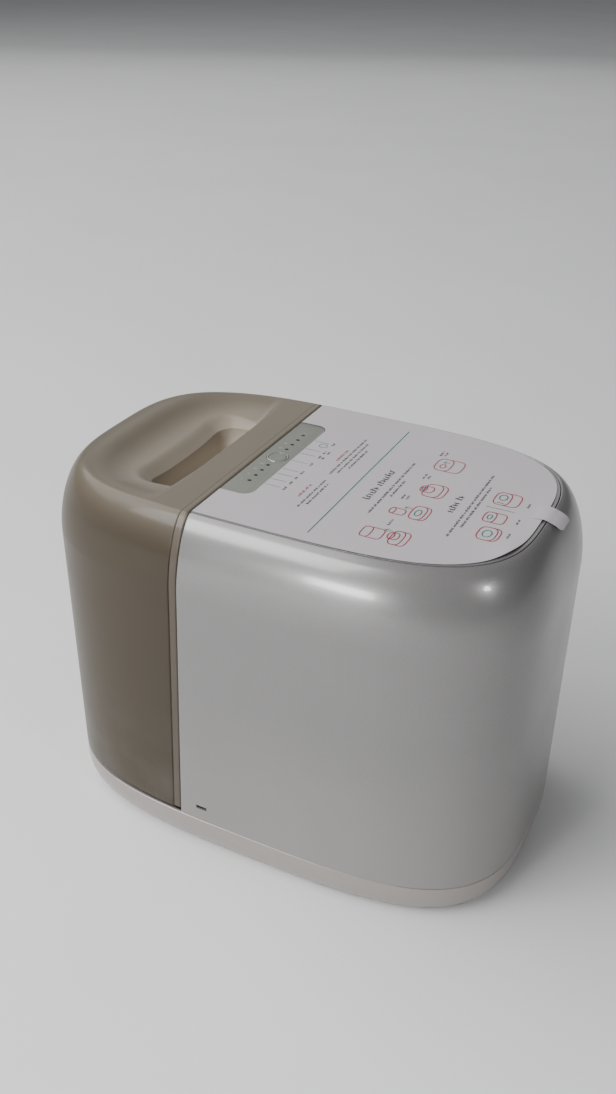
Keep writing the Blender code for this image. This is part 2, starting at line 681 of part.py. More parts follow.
def screw(name, at, head_z, up, head_r=4 * MM, shank=12 * MM):
    """Pan-head screw; up is 1 where its shank points upwards."""
    r = 1.4 * MM
    head = 2.2 * MM
    profile = [(0, shank), (r * 0.6, shank), (r, shank - 1 * MM), (r, 0), (head_r, 0),
               (head_r, -head * 0.6), (head_r * 0.7, -head), (0, -head)]
    if up < 0:
        profile = [(radius, -z) for radius, z in reversed(profile)]
    turned(name, at, [(radius, head_z + z) for radius, z in profile], "steel", 10)


def make_deck_screws():
    """Screws that hold the deck up against the shell's posts."""
    for i, place in enumerate(POST_PLACES):
        screw(f"deck_screw_{i}", place, DECK_Z - GAP, 1)


def make_fan_shroud():
    """Round duct that stands on the deck round the fan."""
    low = DECK_Z + DECK_THICK + GAP
    thick = 2.5 * MM
    foot_r = SHROUD_R + 8 * MM
    profile = [(foot_r, SHROUD_TOP), (foot_r, SHROUD_TOP - 8 * MM),
               (SHROUD_R + thick, SHROUD_TOP - 12 * MM),
               (SHROUD_R + thick, low + thick), (foot_r, low + thick), (foot_r, low),
               (SHROUD_R, low), (SHROUD_R, SHROUD_TOP)]
    shroud = turned("fan_shroud", (FILTER_X, 0), profile, "inner", 32)
    boolean(shroud, rods("shroud_holes", BRACKET_SCREWS, SCREW_HOLE_R,
                         SHROUD_TOP - 7 * MM, SHROUD_TOP + 1 * MM))


def make_bracket():
    """Three-armed bracket that carries the motor over the fan."""
    hub, arm, tip = 24 * MM, 5 * MM, 61 * MM
    points = []
    for i in range(3):
        middle = 2 * math.pi * (i + 0.5) / 3
        root = math.asin(arm / hub)
        end = math.asin(arm / tip)
        points += [(hub, middle - root), (tip, middle - end), (tip, middle + end), (hub, middle + root)]
        for k in range(1, 6):
            points.append((hub, middle + root + (2 * math.pi / 3 - 2 * root) * k / 6))
    flat = [(FILTER_X + r * math.cos(a), r * math.sin(a)) for r, a in points]
    low = SHROUD_TOP + GAP
    bracket = plate("motor_bracket", flat, low, low + 2.5 * MM, "inner")
    boolean(bracket, rods("bracket_holes", BRACKET_SCREWS, SCREW_HOLE_R + GAP, low - 1 * MM, low + 5 * MM))
    for i, place in enumerate(BRACKET_SCREWS):
        screw(f"bracket_screw_{i}", place, low + 2.5 * MM + GAP, -1, head_r=3 * MM, shank=8 * MM)


def make_motor():
    """Motor can under the bracket, with a bore for its shaft."""
    top = SHROUD_TOP
    bore = SHAFT_R + GAP
    deep = SHAFT_TOP + 1 * MM
    profile = [(0, top), (20 * MM, top), (22 * MM, top - 2 * MM), (22 * MM, MOTOR_LOW + 1 * MM),
               (21 * MM, MOTOR_LOW), (bore, MOTOR_LOW), (bore, deep), (0, deep)]
    turned("fan_motor", (FILTER_X, 0), profile, "steel", 20)


def make_impeller():
    """Hub with twelve blades on the motor's shaft."""
    blades, hub, half = 12, 18 * MM, 0.7 * MM
    flat = []
    for i in range(blades):
        middle = 2 * math.pi * i / blades
        root = math.asin(half / hub)
        sweep = 0.35
        for r, a in ((hub, middle - root), (hub * 1.9, middle - root / 1.9 + sweep / 2),
                     (FAN_R, middle - half / FAN_R + sweep), (FAN_R, middle + half / FAN_R + sweep),
                     (hub * 1.9, middle + root / 1.9 + sweep / 2), (hub, middle + root)):
            flat.append((FILTER_X + r * math.cos(a), r * math.sin(a)))
    low, high = BLADE_LOW, BLADE_TOP
    impeller = plate("fan_impeller", flat, low, high, "dark")
    boolean(impeller, rod("impeller_bore", (FILTER_X, 0), SHAFT_R + GAP, low - 1 * MM, high + 1 * MM,
                          sides=16))
    rod("motor_shaft", (FILTER_X, 0), SHAFT_R, low + 1 * MM, SHAFT_TOP, "steel", 16)


# ---- filter, sensor, inlet and film -------------------------------------------------
def make_filter():
    """Round wick between two end rings."""
    at = (FILTER_X, 0)
    turned("wick_filter", at, ring_profile(FILTER_BORE, FILTER_R, FILTER_BASE, FILTER_TOP), "wick", 32)
    lip = 1.5 * MM
    rings = (("filter_base_ring", FILTER_BASE - GAP, -1), ("filter_top_ring", FILTER_TOP + GAP, 1))
    for name, near, away in rings:
        low, high = sorted((near, near + away * 4 * MM))
        turned(name, at, ring_profile(FILTER_BORE - lip, FILTER_R + lip, low, high), "inner", 32)


def make_level_sensor():
    """Closed tube under the deck that holds the reed switch over the float."""
    rod("level_sensor", FLOAT_AT, 4 * MM, SENSOR_LOW, DECK_Z - GAP, "inner", 16)


def make_power_inlet():
    """Low-voltage socket in the back wall."""
    half_x, half_z = 9 * MM - GAP, 7 * MM - GAP
    back = 119.3 * MM
    body = block("power_inlet", (INLET_X - half_x, 101 * MM, INLET_Z - half_z),
                 (INLET_X + half_x, back, INLET_Z + half_z), "dark")
    hole = bmesh.new()
    place = Matrix.Translation((INLET_X, back - 5 * MM, INLET_Z)) @ Matrix.Rotation(math.pi / 2, 4, "X")
    bmesh.ops.create_cone(hole, cap_ends=True, segments=24, radius1=4 * MM, radius2=4 * MM,
                          depth=14 * MM, matrix=place)
    boolean(body, add_object("socket_hole", mesh_from(hole, "socket_hole")))


def make_film():
    """Printed guide film laid over the lid, with a tab that bends down over the end."""
    lift, thick = GAP, 0.4 * MM
    low = HEIGHT + lift
    end_inset, side_inset = LID_EDGE + 3 * MM, LID_EDGE + 1 * MM
    stretch = (LENGTH / 2 - end_inset) / (LENGTH / 2 - side_inset)
    edge = [(x * stretch, y) for x, y, z in outline(side_inset, 0)]
    film = plate("guide_film", edge, low, low + thick, "film")
    boolean(film, fan_side("film_half", 0.6 * MM), "INTERSECT")
    boolean(film, plate("film_notch", strip_outline(0.6 * MM), low - GAP, low + 5 * MM))
    start, reach = LENGTH / 2 - end_inset - 6 * MM, LENGTH / 2 - 4 * MM
    bm = bmesh.new()
    rows = []
    steps = 10
    for i in range(steps + 1):
        part = i / steps
        x = start + (reach - start) * part
        over = max(0.0, (x - (LENGTH / 2 - SHOULDER_IN)) / SHOULDER_IN)
        drop = SHOULDER_DOWN * (1 - (1 - over ** SHOULDER_POWER) ** (1 / SHOULDER_POWER))
        corners = [(TAB_Y[0], low), (TAB_Y[1], low), (TAB_Y[1], low + thick), (TAB_Y[0], low + thick)]
        rows.append([bm.verts.new((x, y, z - drop)) for y, z in corners])
    for near, far in zip(rows, rows[1:]):
        for i in range(4):
            k = (i + 1) % 4
            bm.faces.new((near[i], near[k], far[k], far[i]))
    bm.faces.new(rows[0])
    bm.faces.new(rows[-1])
    boolean(film, add_object("film_tab", mesh_from(bm, "film_tab")), "UNION")


make_tray()
make_feet()
make_float()
make_tank()
make_back_plate()
make_cap()
make_valve()
make_body_shell()
make_grille()
make_lid()
make_strip()
make_button()
make_light_guide()
make_boards()
make_deck()
make_deck_screws()
make_fan_shroud()
make_bracket()
make_motor()
make_impeller()
make_filter()
make_level_sensor()
make_power_inlet()
make_film()
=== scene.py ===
"""Looks of the room humidifier: finished shells, tank, printed film and materials round the CAD frame."""
import json
import math

import bmesh
import bpy
import numpy as np
from mathutils import Matrix, Vector


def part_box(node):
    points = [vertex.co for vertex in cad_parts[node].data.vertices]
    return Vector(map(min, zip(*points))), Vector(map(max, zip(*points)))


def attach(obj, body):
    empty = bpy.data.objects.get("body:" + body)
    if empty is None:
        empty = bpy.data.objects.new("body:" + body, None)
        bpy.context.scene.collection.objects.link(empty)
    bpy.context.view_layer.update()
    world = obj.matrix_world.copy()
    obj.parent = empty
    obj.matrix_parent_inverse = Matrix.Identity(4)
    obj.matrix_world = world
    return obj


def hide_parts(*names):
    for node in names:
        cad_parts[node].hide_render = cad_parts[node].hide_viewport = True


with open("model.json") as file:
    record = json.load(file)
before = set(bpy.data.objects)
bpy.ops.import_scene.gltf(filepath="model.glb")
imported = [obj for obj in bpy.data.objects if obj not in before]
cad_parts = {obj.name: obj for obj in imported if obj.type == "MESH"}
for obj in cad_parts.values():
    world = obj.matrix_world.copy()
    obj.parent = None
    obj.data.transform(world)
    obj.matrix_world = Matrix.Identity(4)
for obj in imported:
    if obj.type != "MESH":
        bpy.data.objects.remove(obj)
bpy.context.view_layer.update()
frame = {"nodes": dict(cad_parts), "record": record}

MM = 0.001

# ---- sizes of the case; its heights come from the frame -----------------------------
GAP = 0.3 * MM             # between pieces that meet
WALL = 3 * MM
LENGTH = 376 * MM
WIDTH = 240 * MM
SHELL_LOW, SHELL_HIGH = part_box("body_shell")
HEIGHT = SHELL_HIGH[2]
TRAY_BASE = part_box("tray_pan")[0][2]
TRAY_TOP = SHELL_LOW[2] - GAP
TANK_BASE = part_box("tank_back_plate")[0][2]

PLAN_POWER = 3.4           # how square the case's outline is from above
SHOULDER_IN = 20 * MM      # rounded top edge
SHOULDER_DOWN = 54 * MM
SHOULDER_POWER = 1.75
SHOULDER_STEPS = 26
SEAM_TOP_X = -45.3 * MM
SEAM_LEAN = 0.04
FLANGE = 6 * MM            # thickness of the tank's back plate at its rim
FLANGE_STEP = 0.7 * MM     # how far that rim lies inside the shell
LID_EDGE = 20 * MM
LID_THICK = 3.5 * MM

FAN, TANK = 1, -1          # the two sides of the seam


# ---- meshes -------------------------------------------------------------------------
def add(name, mesh):
    """Put a mesh in the scene."""
    obj = bpy.data.objects.new(name, mesh)
    bpy.context.scene.collection.objects.link(obj)
    return obj


def finish_piece(obj, material_name, body, replaces=(), sharp=32, even=False):
    """Shade a piece, give it its material and its body, and hide the CAD nodes that it stands for."""
    if sharp:
        shade(obj, sharp)
    if even:
        weighted(obj)
    obj.data.materials.clear()
    obj.data.materials.append(MATERIALS[material_name])
    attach(obj, body)
    if replaces:
        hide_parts(*replaces)


def mesh_from(bm, name):
    """Turn a bmesh into a mesh with its faces pointing outwards."""
    bmesh.ops.recalc_face_normals(bm, faces=bm.faces)
    mesh = bpy.data.meshes.new(name)
    bm.to_mesh(mesh)
    bm.free()
    return mesh


def shade(obj, angle):
    """Smooth shading with edges over the angle kept sharp."""
    bm = bmesh.new()
    bm.from_mesh(obj.data)
    limit = math.radians(angle)
    for face in bm.faces:
        face.smooth = True
    for edge in bm.edges:
        edge.smooth = len(edge.link_faces) == 2 and edge.calc_face_angle(0) < limit
    bm.to_mesh(obj.data)
    bm.free()


def apply_modifiers(obj):
    """Replace an object's mesh by what its modifiers make of it."""
    graph = bpy.context.evaluated_depsgraph_get()
    mesh = bpy.data.meshes.new_from_object(obj.evaluated_get(graph))
    obj.modifiers.clear()
    obj.data = mesh
    return obj


def boolean(target, cutter, operation="DIFFERENCE"):
    """Cut, join or keep the common part, and drop the cutter."""
    mod = target.modifiers.new(operation.lower(), "BOOLEAN")
    mod.operation = operation
    mod.object = cutter
    mod.solver = "EXACT"
    apply_modifiers(target)
    bpy.data.objects.remove(cutter, do_unlink=True)


def weighted(obj):
    """Even out the shading beside large flat faces."""
    mod = obj.modifiers.new("normals", "WEIGHTED_NORMAL")
    mod.keep_sharp = True
    mod.weight = 60


def skin(name, rings, closed=False):
    """Join rings of points, which all have the same count, into a solid."""
    bm = bmesh.new()
    rows = [[bm.verts.new(p) for p in ring] for ring in rings]
    count = len(rows[0])
    pairs = list(zip(rows, rows[1:]))
    if closed:
        pairs.append((rows[-1], rows[0]))
    else:
        bm.faces.new(rows[0])
        bm.faces.new(rows[-1])
    for low, high in pairs:
        for i in range(count):
            k = (i + 1) % count
            bm.faces.new((low[i], low[k], high[k], high[i]))
    return add(name, mesh_from(bm, name))


def evenly(points, count):
    """Resample an open curve at equal lengths."""
    steps = np.linalg.norm(np.diff(points, axis=0), axis=1)
    along = np.concatenate(([0], np.cumsum(steps)))
    at = np.linspace(0, along[-1], count)
    return np.stack([np.interp(at, along, points[:, k]) for k in range(2)], axis=1)


def superellipse(half_x, half_y, power, start, stop, count):
    """Points between two turns of a superellipse round the origin."""
    turn = np.linspace(start, stop, count)
    across, along = np.cos(turn), np.sin(turn)
    x = half_x * np.sign(across) * np.abs(across) ** (2 / power)
    y = half_y * np.sign(along) * np.abs(along) ** (2 / power)
    return np.stack([x, y], axis=1)


def case_curve(inset, start, stop, count):
    """Evenly spaced points on the case's outline, drawn in by inset, between two turns."""
    close = superellipse(LENGTH / 2 - inset, WIDTH / 2 - inset, PLAN_POWER, start, stop, 1600)
    return evenly(close, count)


def whole_ring(inset, z):
    """Case outline drawn in by inset, at height z."""
    return [(x, y, z) for x, y in case_curve(inset, 0.01, 2 * math.pi + 0.01, 225)[:-1]]


def seam_x(z):
    """Where the plane between tank and fan housing stands at height z."""
    return SEAM_TOP_X + SEAM_LEAN * (z - HEIGHT)


def half_ring(side, inset, z, back_off, radius, arc=150, across=30):
    """One side's part of the case outline, with round corners where it meets the seam."""
    wall = seam_x(z) + side * back_off
    start = wall + side * radius
    turn = math.acos(-(abs(start) / (LENGTH / 2 - inset)) ** (PLAN_POWER / 2))
    stop = -turn if side == FAN else 2 * math.pi - turn
    curve = case_curve(inset, turn, stop, arc)
    top_y = curve[0][1]
    corner = np.radians([22.5, 45, 67.5, 90])
    near = [(start - side * radius * math.sin(c), -top_y + radius * (1 - math.cos(c))) for c in corner]
    straight = [(wall, y) for y in np.linspace(-top_y + radius, top_y - radius, across)[1:-1]]
    far = [(x, -y) for x, y in reversed(near)]
    return [(x, y, z) for x, y in list(curve) + near + straight + far]


def shoulder(offset):
    """Insets and heights up the rounded top edge, of a skin that lies offset inside the case."""
    power = 2 / SHOULDER_POWER
    levels = []
    for i in range(SHOULDER_STEPS + 1):
        turn = math.pi / 2 * i / SHOULDER_STEPS
        inset = SHOULDER_IN * (1 - max(0.0, math.cos(turn)) ** power)
        height = HEIGHT - SHOULDER_DOWN + SHOULDER_DOWN * math.sin(turn) ** power
        slope = turn / (math.pi / 2)
        levels.append((inset + offset * (1 - slope), height - offset * slope))
    return levels


def quarter(inset, base, pull, rise, steps):
    """Insets and heights up a quarter of an ellipse, from flat to upright."""
    turns = [math.pi / 2 * i / steps for i in range(steps + 1)]
    return [(inset + pull * (1 - math.sin(t)), base + rise * (1 - math.cos(t))) for t in turns]


def fillet_levels(base, radius, offset=0.0):
    """Insets and heights round a bottom edge."""
    return quarter(offset, base, radius, radius, 4)


def top_fillet(z, radius):
    """How far the seam face draws back close to the top."""
    over = z - (HEIGHT - radius)
    if over <= 0:
        return 0.0
    return radius - math.sqrt(max(0.0, radius * radius - over * over))


def boxes(name, corners):
    """Several boxes in one object."""
    bm = bmesh.new()
    for low, high in corners:
        size = Vector(high) - Vector(low)
        place = Matrix.Translation((Vector(high) + Vector(low)) / 2) @ Matrix.Diagonal((*size, 1))
        bmesh.ops.create_cube(bm, size=1.0, matrix=place)
    return add(name, mesh_from(bm, name))


def block(name, low, high):
    """A box between two corners."""
    return boxes(name, [(low, high)])


def rods(name, places, radius, low, high, sides=32):
    """Several upright cylinders in one object."""
    bm = bmesh.new()
    for x, y in places:
        place = Matrix.Translation((x, y, (low + high) / 2))
        bmesh.ops.create_cone(bm, cap_ends=True, segments=sides, radius1=radius, radius2=radius,
                              depth=high - low, matrix=place)
    return add(name, mesh_from(bm, name))


def turned(name, at, profile, sides=96):
    """A turned solid from a closed (radius, height) section, or one that starts and ends on the axis."""
    on_axis = min(r for r, z in profile) <= 0
    rings = []
    for i in range(sides):
        turn = 2 * math.pi * i / sides
        rings.append([(at[0] + r * math.cos(turn), at[1] + r * math.sin(turn), z) for r, z in profile])
    bm = bmesh.new()
    rows = [[bm.verts.new(p) for p in ring] for ring in rings]
    count = len(profile)
    for i, row in enumerate(rows):
        after = rows[(i + 1) % sides]
        for j in range(count if not on_axis else count - 1):
            k = (j + 1) % count
            bm.faces.new((row[j], after[j], after[k], row[k]))
    bmesh.ops.remove_doubles(bm, verts=bm.verts, dist=1e-7)
    bmesh.ops.dissolve_degenerate(bm, edges=bm.edges, dist=1e-8)
    return add(name, mesh_from(bm, name))


def prism(name, flat, low, high, edge=0.0):
    """A flat outline given thickness, with its top edge rounded by edge."""
    centre = np.mean(np.array(flat), axis=0)
    rings = [[(x, y, low) for x, y in flat]]
    for lift, pull in ((-edge, 0.0), (-edge * 0.3, edge * 0.3), (0.0, edge)) if edge else ((0.0, 0.0),):
        ring = []
        for x, y in flat:
            way = np.array((x, y)) - centre
            way = way / (np.linalg.norm(way) + 1e-12)
            ring.append((x - way[0] * pull, y - way[1] * pull, high + lift))
        rings.append(ring)
    return skin(name, rings)


# ---- materials ----------------------------------------------------------------------
def scaled(colour, factor):
    """A colour made lighter or darker."""
    return tuple(c * factor for c in colour)


class Nodes:
    """Short calls for building one material's nodes."""

    def __init__(self, name):
        self.mat = bpy.data.materials.new(name)
        self.mat.use_nodes = True
        self.tree = self.mat.node_tree
        self.shader = self.tree.nodes["Principled BSDF"]
        self.coord = self.tree.nodes.new("ShaderNodeTexCoord").outputs["Object"]

    def put(self, value, socket):
        """Link an output to a socket, or write a plain number or colour into it."""
        if hasattr(value, "default_value"):
            self.tree.links.new(value, socket)
        elif socket.type == "RGBA":
            socket.default_value = (*value, 1.0)
        else:
            socket.default_value = value

    def node(self, kind, **inputs):
        """A new node with its inputs filled in."""
        node = self.tree.nodes.new("ShaderNode" + kind)
        for key, value in inputs.items():
            self.put(value, node.inputs[key.replace("_", " ")])
        return node

    def noise(self, scale, detail=3.0, rough=0.5, stretch=None):
        source = self.coord
        if stretch:
            source = self.node("Mapping", Scale=stretch, Vector=self.coord).outputs["Vector"]
        node = self.node("TexNoise", Scale=scale, Detail=detail, Roughness=rough, Vector=source)
        return node.outputs["Fac"]

    def cells(self, scale):
        return self.node("TexVoronoi", Scale=scale, Vector=self.coord).outputs["Color"]

    def spread(self, value, low, high, start=0.3, stop=0.7):
        """Map start to low and stop to high, and hold outside them."""
        node = self.node("MapRange", From_Min=start, From_Max=stop, To_Min=low, To_Max=high, Value=value)
        return node.outputs["Result"]

    def ramp(self, value, stops):
        node = self.node("ValToRGB", Fac=value)
        ramp = node.color_ramp
        while len(ramp.elements) < len(stops):
            ramp.elements.new(0.5)
        for element, (place, colour) in zip(ramp.elements, stops):
            element.position = place
            element.color = (*colour, 1.0)
        return node.outputs["Color"]

    def mottled(self, colour, scale, detail, dark, light, start=0.3, stop=0.7):
        """The colour in soft patches from dark to light times itself."""
        stops = [(start, scaled(colour, dark)), (stop, scaled(colour, light))]
        return self.ramp(self.noise(scale, detail), stops)

    def mix(self, factor, first, second, way="MIX"):
        node = self.node("Mix", Factor=factor)
        node.data_type = "RGBA"
        node.blend_type = way
        for key, value in (("A", first), ("B", second)):
            self.put(value, [s for s in node.inputs if s.name == key and s.type == "RGBA"][0])
        return [s for s in node.outputs if s.type == "RGBA"][0]

    def times(self, first, second):
        return self.math("MULTIPLY", first, second)

    def math(self, how, first, second=0.0):
        node = self.node("Math")
        node.operation = how
        for socket, value in zip(node.inputs, (first, second)):
            self.put(value, socket)
        return node.outputs["Value"]

    def bump(self, *layers):
        """Stack (height, strength, distance) layers into the shader's normal."""
        last = None
        for height, strength, distance in layers:
            node = self.node("Bump", Strength=strength, Distance=distance, Height=height)
            if last:
                self.put(last, node.inputs["Normal"])
            last = node.outputs["Normal"]
        self.set(Normal=last)

    def axis(self, name):
        """X, Y or Z on the object."""
        return self.node("SeparateXYZ", Vector=self.coord).outputs[name]

    def height(self, low, high, start, stop):
        """A value that changes with height on the object."""
        return self.spread(self.axis("Z"), low, high, start, stop)

    def set(self, **values):
        """Fill in the shader's inputs."""
        for key, value in values.items():
            self.put(value, self.shader.inputs[key.replace("_", " ")])


def moulded(name, colour, rough, grain=900.0, depth=0.012, coat=0.0, spread=0.05, **extra):
    """Moulded plastic: faint mottling, fine grain, patches of wear and dust in its gloss."""
    n = Nodes(name)
    base = n.mottled(colour, 9.0, 4.0, 1 - spread, 1 + spread)
    pale_patches = n.spread(n.noise(55.0, 6.0, 0.65), 0.0, 0.10, 0.55, 0.8)
    n.set(Base_Color=n.mix(pale_patches, base, scaled(colour, 1.25)),
          Roughness=n.spread(n.noise(22.0, 5.0, 0.6), rough * 0.85, rough * 1.2))
    n.bump((n.noise(grain, 2.0), depth * 4, 0.0002), (n.noise(30.0, 2.0), 0.02, 0.002))
    n.set(Coat_Weight=coat, Coat_Roughness=0.12, **extra)
    return n.mat


def pearl_case(name, colour):
    """Pearl grey case: fine flakes under a soft gloss, hairline scuffs, and paler, rougher patches towards
    the floor, painted bounce light from the floor.
    """
    n = Nodes(name)
    base = n.mottled(colour, 6.0, 4.0, 0.95, 1.05, 0.25, 0.75)
    flaky = n.mix(0.10, base, n.cells(2600.0), "SOFT_LIGHT")
    scuff = n.spread(n.noise(28.0, 8.0, 0.7, (0.35, 0.35, 4.0)), 0.0, 0.16, 0.6, 0.78)
    worn = n.mix(scuff, flaky, scaled(colour, 1.2))
    # Painted light: paler in soft patches towards the floor, as painted bounce light from the floor; the
    # gloss is rougher there too.
    low = n.height(0.9, 0.0, 0.0, 0.16)
    pale_patches = n.times(low, n.spread(n.noise(9.0, 2.0, 0.5), 0.38, 0.62))
    smear = n.spread(n.noise(14.0, 4.0, 0.55), 0.27, 0.36, 0.2, 0.8)
    n.set(Base_Color=n.mix(pale_patches, worn, (0.31, 0.285, 0.27)),
          Roughness=n.math("ADD", smear, n.times(pale_patches, 0.25)))
    n.bump((n.noise(1500.0, 2.0), 0.05, 0.0002), (n.noise(26.0, 2.0), 0.03, 0.003))
    n.set(Metallic=0.38, Specular_IOR_Level=0.20, Coat_Weight=0.5, Coat_Roughness=0.12)
    return n.mat


def smoke_tank(name, side):
    """Smoke-brown tank with faint flow lines and lime, and painted light: lighter on top as a painted sheen,
    darker towards the sides as painted shade, and much lighter in the dish and the finger slot to lift the
    shade that falls in these hollows.
    """
    n = Nodes(name)
    # Painted light: top is a painted sheen, side a painted shade, and the dish and slot colours are painted
    # lighter to lift the shade in the hollows.
    top, dish, slot = (0.142, 0.122, 0.094), (0.300, 0.262, 0.210), (0.54, 0.485, 0.405)
    mouth, lip, rim = 0.260, 0.274, 0.2875     # heights at the slot's mouth, the dish's foot and its rim
    across, along = (n.math("POWER", n.math("DIVIDE", n.math("ABSOLUTE", n.axis(axis)), half), PLAN_POWER)
                     for axis, half in (("Y", WIDTH / 2), ("X", LENGTH / 2)))
    reach = n.math("ADD", across, along)       # 0 on the axis, 1 on the case's outline
    # Painted sheen and shade: the top colour in the middle, going over to the darker side colour towards the
    # case's outline.
    outer = n.mix(n.spread(reach, 0.0, 1.0, 0.56, 0.90), top, side)
    inside = n.spread(reach, 1.0, 0.0, 0.30, 0.46)
    # Painted light: the dish and, deeper, the finger slot are much lighter, to lift the shade that falls in
    # these hollows.
    hollow = n.times(inside, n.height(1.0, 0.0, lip, rim))
    sunk = n.times(inside, n.height(1.0, 0.0, mouth, lip))
    body = n.mix(sunk, n.mix(hollow, outer, dish), slot)
    cloud = n.ramp(n.noise(7.0, 3.0, 0.5), [(0.25, (0.93, 0.93, 0.93)), (0.75, (1.0, 1.0, 1.0))])
    base = n.mix(1.0, body, cloud, "MULTIPLY")
    flow = n.spread(n.noise(14.0, 3.0, 0.5, (1.0, 1.0, 0.12)), 0.0, 0.10, 0.4, 0.8)
    streaky = n.mix(flow, base, scaled(side, 1.6))
    low = n.height(0.4, 0.0, 0.03, 0.13)
    lime = n.times(low, n.spread(n.noise(45.0, 3.0, 0.5), 0.0, 1.0, 0.4, 0.8))
    n.set(Base_Color=n.mix(lime, streaky, (0.10, 0.092, 0.084)),
          Roughness=n.spread(n.noise(12.0, 3.0, 0.5), 0.32, 0.40, 0.2, 0.8))
    n.bump((n.noise(1200.0, 2.0), 0.04, 0.0002), (n.noise(20.0, 1.0), 0.03, 0.003))
    n.set(Transmission_Weight=0.10, IOR=1.45, Specular_IOR_Level=0.12, Coat_Weight=0.2, Coat_Roughness=0.12)
    return n.mat


def strip_satin():
    """Grey-green control strip with a fine satin grain."""
    n = Nodes("strip_satin")
    n.set(Base_Color=n.mottled((0.145, 0.151, 0.131), 30.0, 4.0, 0.96, 1.05),
          Roughness=n.spread(n.noise(60.0, 5.0, 0.6), 0.36, 0.46))
    n.bump((n.noise(2200.0, 2.0), 0.10, 0.0001))
    n.set(Specular_IOR_Level=0.3, Coat_Weight=0.08, Coat_Roughness=0.2)
    return n.mat


def film_sheet():
    """Printed film: lilac white, very fine fibre, soft waves and a light sheen."""
    n = Nodes("film_sheet")
    base = n.mottled((0.378, 0.355, 0.370), 14.0, 4.0, 0.975, 1.02)
    fibre = n.spread(n.noise(900.0, 3.0, 0.6, (1.0, 0.4, 1.0)), 0.0, 0.06)
    n.set(Base_Color=n.mix(fibre, base, (0.40, 0.38, 0.40)),
          Roughness=n.spread(n.noise(40.0, 5.0, 0.6), 0.42, 0.55))
    n.bump((n.noise(1400.0, 2.0), 0.06, 0.0001), (n.noise(18.0, 2.0), 0.05, 0.004))
    n.set(Specular_IOR_Level=0.3, Coat_Weight=0.06, Coat_Roughness=0.25)
    return n.mat


def ink(name, colour):
    """Printing ink, a little uneven where the film shows through."""
    n = Nodes(name)
    worn = n.spread(n.noise(700.0, 4.0, 0.7), 0.0, 0.14)
    n.set(Base_Color=n.mix(worn, colour, (0.28, 0.265, 0.28)),
          Roughness=n.spread(n.noise(300.0, 2.0), 0.42, 0.6), Specular_IOR_Level=0.1)
    n.bump((n.noise(1800.0, 2.0), 0.05, 0.00005))
    return n.mat


def metal(name, colour, rough):
    """Plated steel with drawn scratches and dull patches."""
    n = Nodes(name)
    n.set(Base_Color=n.mottled(colour, 80.0, 5.0, 0.85, 1.05), Metallic=1.0,
          Roughness=n.spread(n.noise(120.0, 6.0, 0.7), rough * 0.8, rough * 1.3))
    n.bump((n.noise(500.0, 3.0, 0.6, (1.0, 1.0, 14.0)), 0.08, 0.0002))
    return n.mat


def circuit_board():
    """Green solder mask over tracks and pads."""
    n = Nodes("circuit_board")
    tracks = n.ramp(n.cells(260.0), [(0.42, (0.02, 0.10, 0.045)), (0.50, (0.05, 0.22, 0.10))])
    n.set(Base_Color=tracks, Roughness=n.spread(n.noise(90.0, 4.0), 0.3, 0.45))
    n.bump((n.cells(260.0), 0.2, 0.0001))
    return n.mat


def wick_paper():
    """Pleated wick: white fibres, damp and slightly yellowed towards the bottom."""
    n = Nodes("wick_paper")
    fibre = n.noise(1100.0, 4.0, 0.7, (1.0, 1.0, 0.35))
    base = n.ramp(fibre, [(0.3, (0.62, 0.62, 0.58)), (0.7, (0.82, 0.83, 0.80))])
    low = n.height(0.6, 0.0, 0.01, 0.10)
    n.set(Base_Color=n.mix(low, base, (0.60, 0.56, 0.46)), Sheen_Weight=0.3,
          Roughness=n.spread(n.noise(200.0, 4.0), 0.8, 0.95))
    n.bump((fibre, 0.5, 0.0004), (n.noise(300.0, 3.0), 0.3, 0.0006))
    return n.mat


MATERIALS = {
    "case": pearl_case("case_pearl", (0.183, 0.180, 0.178)),
    "tray": pearl_case("tray_pearl", (0.258, 0.234, 0.222)),
    "tank": smoke_tank("tank_smoke", (0.046, 0.0360, 0.0235)),
    # Painted light: a lighter copy of the tank's smoke for the back plate, to lift the shade on its rim
    # beside the seam.
    "tank_back": smoke_tank("tank_back_smoke_lightened", (0.082, 0.067, 0.052)),
    "strip": strip_satin(),
    "film": film_sheet(),
    "ink_pink": ink("ink_pink", (0.23, 0.030, 0.043)),
    "ink_teal": ink("ink_teal", (0.005, 0.115, 0.105)),
    "ink_dark": ink("ink_dark", (0.012, 0.010, 0.013)),
    "mark": ink("strip_mark", (0.34, 0.37, 0.34)),
    "dot": moulded("unlit_dot", (0.010, 0.011, 0.010), 0.35, coat=0.1, Specular_IOR_Level=0.2),
    "clear": moulded("clear_ring", (0.27, 0.285, 0.26), 0.16, coat=0.6, Metallic=0.5),
    "inner": moulded("inner_plastic", (0.47, 0.46, 0.44), 0.5, depth=0.03),
    "dark": moulded("dark_plastic", (0.03, 0.03, 0.032), 0.45, depth=0.03, spread=0.2),
    "rubber": moulded("rubber_black", (0.035, 0.035, 0.035), 0.8, grain=600.0, depth=0.06, spread=0.15),
    "steel": metal("plated_steel", (0.56, 0.56, 0.54), 0.3),
    "board": circuit_board(),
    "wick": wick_paper(),
}


# ---- tray ---------------------------------------------------------------------------
HEM_IN = 12.5 * MM
HEM_UP = 20 * MM
TRAY_FLOOR = 4.5 * MM
BASIN_IN = 12 * MM                     # rounded foot of the basin's wall
BASIN_UP = 15 * MM
FEET = [(sx * 140 * MM, sy * 78 * MM) for sx in (-1, 1) for sy in (-1, 1)]
CAP_X = -118 * MM
FILTER_X = 62 * MM
FLOAT_AT = (150 * MM, 60 * MM)


